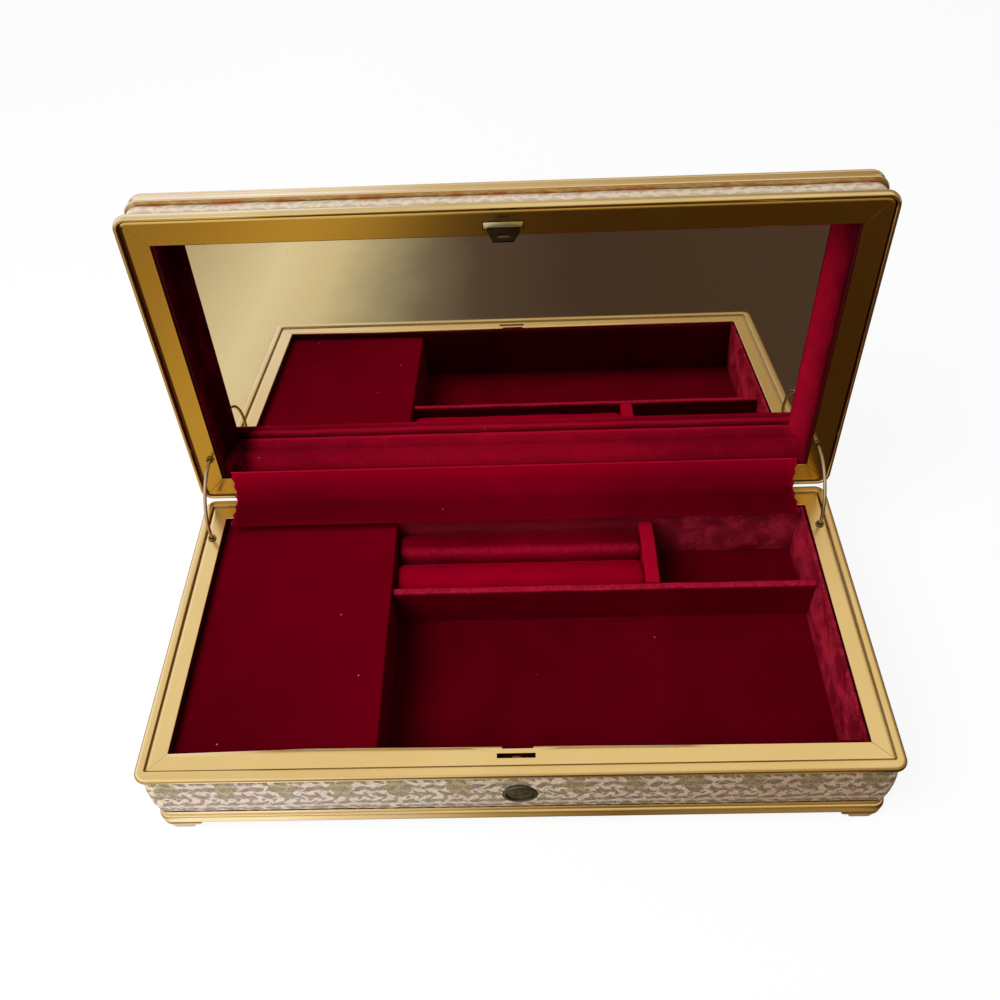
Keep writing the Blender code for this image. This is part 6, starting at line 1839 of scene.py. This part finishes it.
def bevelled_copy(node: str, name: str, width: float) -> Piece:
    """A merged copy of a CAD node with its edges rounded.

    Args:
        node: Name of the CAD node.
        name: Name of the copy.
        width: Width of the rounding in metres.

    Returns:
        The copy.
    """
    obj = bpy.data.objects.new(name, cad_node(node).data.copy())
    bpy.context.scene.collection.objects.link(obj)
    tidy_mesh(obj)
    dissolve = obj.modifiers.new("flat_faces", "DECIMATE")
    dissolve.decimate_type = "DISSOLVE"
    dissolve.angle_limit = math.radians(1.5)
    rounding = obj.modifiers.new("rounded_edges", "BEVEL")
    rounding.width = width
    rounding.segments = 2
    rounding.limit_method = "ANGLE"
    keep_modifiers(obj)
    obj.data.shade_smooth()
    obj.data.set_sharp_from_angle(angle=math.radians(SHARP))
    return obj


@dataclass
class InnerWorks:
    """The parts that keep their CAD shape: wood, card, mirror, hinge and movement."""

    def build(self) -> None:
        """Dress each node."""
        finishes = {
            PINE_BASE: ("base_carcass",),
            PINE_LID: ("lid_carcass",),
            PINE: ("base_floor_board", "music_partition", "platform_batten", "lid_top_board"),
            CARD: ("mirror_backing",),
            MIRROR: ("lid_mirror",),
            BRASS: ("hinge_leaf_base", "hinge_leaf_lid", "hinge_pin", "governor_cock", "winding_key", "spring_barrel",
                    "music_cylinder", "cylinder_pinion", "governor_fan"),
            STEEL: ("movement_bedplate", "movement_comb", "movement_screw_left", "movement_screw_right",
                    "winding_arbor", "stop_lever"),
        }
        for finish, nodes in finishes.items():
            for node in nodes:
                Library.dress(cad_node(node), finish)
        LOG.info("wood, mirror, hinge and movement dressed")


@dataclass
class Studio:
    """Floor, soft lamps, pale world and the camera."""

    camera_at: tuple = (5.9, -226.4, 374.5)
    elevation: float = 0.8456
    azimuth: float = -0.0408
    roll: float = -0.055
    focal_pixels: float = 949.494
    image_pixels: float = 1000.0
    sensor: float = 36.0
    # Bluish white glow seen only in reflections, on the card and in the world: a painted glint.
    painted_glint: tuple = (1.2, 1.35, 2.0)
    lamps: tuple = (("key", (-0.55, -0.35, 0.95), 0.6, 11.5), ("fill", (-0.55, -0.85, 0.50), 0.6, 3.0),
                    ("back", (0.1, 0.9, 0.7), 0.8, 1.6))

    def build(self) -> None:
        """Make the studio."""
        self.floor()
        self.flag()
        self.world()
        for name, place, size, power in self.lamps:
            self.lamp(name, place, size, power)
        self.camera()
        LOG.info("studio: floor, flag, lamps and camera")

    def plane(self, name: str, low: tuple, high: tuple, z: float) -> Piece:
        """A level rectangle marked as stage.

        Args:
            name: Its name.
            low: x and y of one corner, in metres.
            high: x and y of the opposite one.
            z: Its height.

        Returns:
            The rectangle.
        """
        points = np.array([[(low[0], low[1], z), (high[0], low[1], z)], [(low[0], high[1], z), (high[0], high[1], z)]])
        piece = surface(name, points)
        piece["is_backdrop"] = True
        return piece

    def seen(self, g: Graph, rays: Node) -> Socket:
        """1 for the rays that see the white background: the camera's, glossy and transmitted ones."""
        return g.larger(*(rays.outputs[f"Is {kind} Ray"] for kind in ("Camera", "Glossy", "Transmission")))

    def floor(self) -> None:
        """A plain pale floor that reads white to the camera and in polished metal, and keeps a soft shadow."""
        floor = self.plane("pale_floor", (-6, -6), (6, 6), -0.0002)
        material, g, shader = start_material("pale_floor")
        g.fill(shader, {"Base Color": (0.86, 0.86, 0.86), "Roughness": 0.9})
        seen = self.seen(g, g.node("LightPath"))
        white = g.fill(g.node("Emission"), {"Color": (1, 1, 1), "Strength": 1.0})
        mix = g.node("MixShader")
        g.fill(mix, {0: g.times(seen, 0.9), 1: shader.outputs[0], 2: white.outputs[0]})
        g.finish("Material Output", mix)
        floor.data.materials.append(material)

    def flag(self) -> None:
        """A card on the floor that glows, though it is no lamp, and that only reflections see: painted reflections, tan
        on the left and dark on the right, with glowing strips in front of the box and far off.
        """
        flag = self.plane("warm_flag", (-1.6, -2.4), (1.6, 1.2), 0.00005)
        for ray in ("camera", "diffuse", "shadow", "transmission"):
            setattr(flag, "visible_" + ray, False)
        material, g, _ = start_material("warm_flag")
        where = g.place()
        x, y, _ = g.split(where)
        cloud = g.swing(where, 9, 3, 0.6)
        x = g.line(cloud, 0.035, x)
        share = g.plus(x, 0.5, clamp=True)
        colour = g.ramp(share, [(0.0, (0.30, 0.22, 0.12)), (0.22, (0.50, 0.38, 0.20)), (0.31, (0.80, 0.65, 0.36)),
                                (0.36, (0.68, 0.54, 0.28)), (0.40, (0.36, 0.29, 0.155)), (0.43, (0.19, 0.14, 0.08)),
                                (0.47, (0.095, 0.06, 0.036)), (0.55, (0.064, 0.036, 0.02)),
                                (1.0, (0.08, 0.045, 0.025))])
        # Painted reflection: a strip of the card just in front of the box, tan on the left, dark in the middle, brown
        # on the right.
        near = g.below(g.abs(g.minus(y, BOX.centre_y - 0.105)), 0.03, 0.01)
        near = g.times(near, g.below(g.abs(x), 0.15, 0.01))
        colour = g.mix(near, colour, g.ramp(share, [(0.36, (0.45, 0.40, 0.24)), (0.44, (0.40, 0.34, 0.20)),
                                                    (0.50, (0.15, 0.105, 0.055)), (0.54, (0.17, 0.12, 0.06)),
                                                    (0.62, (0.34, 0.25, 0.13))]))
        # Painted highlight: a strip closer in front glowing bluish white on the left, dark in the middle and brown on
        # the right.
        close = g.below(g.abs(g.plus(y, 0.106)), 0.017, 0.005)
        close = g.times(close, g.below(g.abs(x), 0.15, 0.01))
        colour = g.mix(close, colour, g.ramp(share, [(0.40, (1.4, 1.45, 1.8)), (0.48, (0.60, 0.52, 0.32)),
                                                     (0.54, (0.24, 0.17, 0.09)), (0.62, (0.42, 0.31, 0.17))]))
        # Painted glint far off on the left, fading to dark and brown towards the right.
        far = g.below(y, -0.85, 0.05)
        colour = g.mix(far, colour, g.ramp(share, [(0.25, self.painted_glint), (0.38, (0.60, 0.52, 0.32)),
                                                   (0.45, (0.16, 0.11, 0.06)), (0.60, (0.30, 0.22, 0.12))]))
        shade = g.fill(g.node("Emission"), {"Color": colour, "Strength": 1.0})
        g.finish("Material Output", shade)
        flag.data.materials.append(material)

    def world(self) -> None:
        """White for the camera, softer for the light that it gives.

        Reflections see it dimmer and warmer low on the right, with a bright band at the horizon on the left.
        """
        world = bpy.data.worlds.new("studio_world")
        world.use_nodes = True
        bpy.context.scene.world = world
        g = Graph(world.node_tree)
        soft = g.fill(world.node_tree.nodes["Background"], {"Color": (1, 1, 1), "Strength": 0.38})
        white = g.fill(g.node("Background"), {"Strength": 1.0})
        rays = g.node("LightPath")
        x, _, z = g.split(g.node("TexCoord").outputs["Generated"])
        low = g.mix(g.line(x, 1.3, 0.45, clamp=True), (1.0, 0.97, 0.86), (0.40, 0.30, 0.18))
        dim = g.times(g.below(z, 0.66, 0.14), rays.outputs["Is Glossy Ray"])
        band = g.times(g.below(z, 0.48, 0.07), g.line(x, -12.0, -1.1, clamp=True))
        side = g.times(g.below(z, 0.70, 0.08), g.line(x, -12.0, -3.4, clamp=True))
        band = g.times(g.larger(band, side), rays.outputs["Is Glossy Ray"])
        g.feed(white.inputs["Color"], g.mix(band, g.mix(dim, (1.0, 1.0, 1.0), low), self.painted_glint))
        seen = self.seen(g, rays)
        mix = g.fill(g.node("MixShader"), {0: seen, 1: soft.outputs[0], 2: white.outputs[0]})
        g.finish("World Output", mix)

    def lamp(self, name: str, place: tuple, size: float, power: float) -> None:
        """A soft square lamp aimed at the box; the card and the world make the highlights.

        Args:
            name: Its name.
            place: Where it stands, in metres.
            size: Length of its side.
            power: Its power in watts.
        """
        light = bpy.data.lights.new(name, "AREA")
        light.size = size
        light.energy = power
        obj = bpy.data.objects.new(name, light)
        obj.location = place
        obj.visible_glossy = False
        aim = Vector((0, 0, 0.06)) - Vector(place)
        obj.rotation_euler = aim.to_track_quat("-Z", "Y").to_euler()
        bpy.context.scene.collection.objects.link(obj)

    def camera(self) -> None:
        """The camera at the photograph's angle: forward from elevation and azimuth, then rolled."""
        el, az = self.elevation, self.azimuth
        forward = np.array([math.sin(az) * math.cos(el), math.cos(az) * math.cos(el), -math.sin(el)])
        right = np.cross(forward, [0, 0, 1.0])
        right /= np.linalg.norm(right)
        up = np.cross(right, forward)
        rolled_right = math.cos(self.roll) * right + math.sin(self.roll) * up
        rolled_up = -math.sin(self.roll) * right + math.cos(self.roll) * up
        camera = bpy.data.cameras.new("photo_camera")
        camera.sensor_width = self.sensor
        camera.lens = self.focal_pixels * self.sensor / self.image_pixels
        camera.clip_start = 0.01
        obj = bpy.data.objects.new("photo_camera", camera)
        bpy.context.scene.collection.objects.link(obj)
        place = BOX.base_points(np.array(self.camera_at) * MM)
        turn = Matrix([rolled_right, rolled_up, -forward]).transposed().to_4x4()
        obj.matrix_world = Matrix.Translation(Vector(place)) @ turn
        bpy.context.scene.camera = obj


def corners(box: tuple) -> list:
    """A bounding box as plain lists of numbers."""
    return [[float(value) for value in corner] for corner in box]


def main() -> None:
    """Build every sub-assembly in order."""
    logging.basicConfig(level=logging.INFO, format="%(message)s")
    bpy.context.scene.view_settings.view_transform = "Standard"
    cad_box = corners(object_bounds())
    for part in (InnerWorks(), GiltFrames(), CornerFeet(), BrocadeDress(), VelvetTrays(), RingRolls(), LidInside(),
                 HingeStrip(), StayWires(), PushLatch(), Studio()):
        part.build()
    bpy.context.view_layer.update()
    {"cad": cad_box, "visual": corners(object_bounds())}


if __name__ == "__main__":
    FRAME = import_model()
    main()
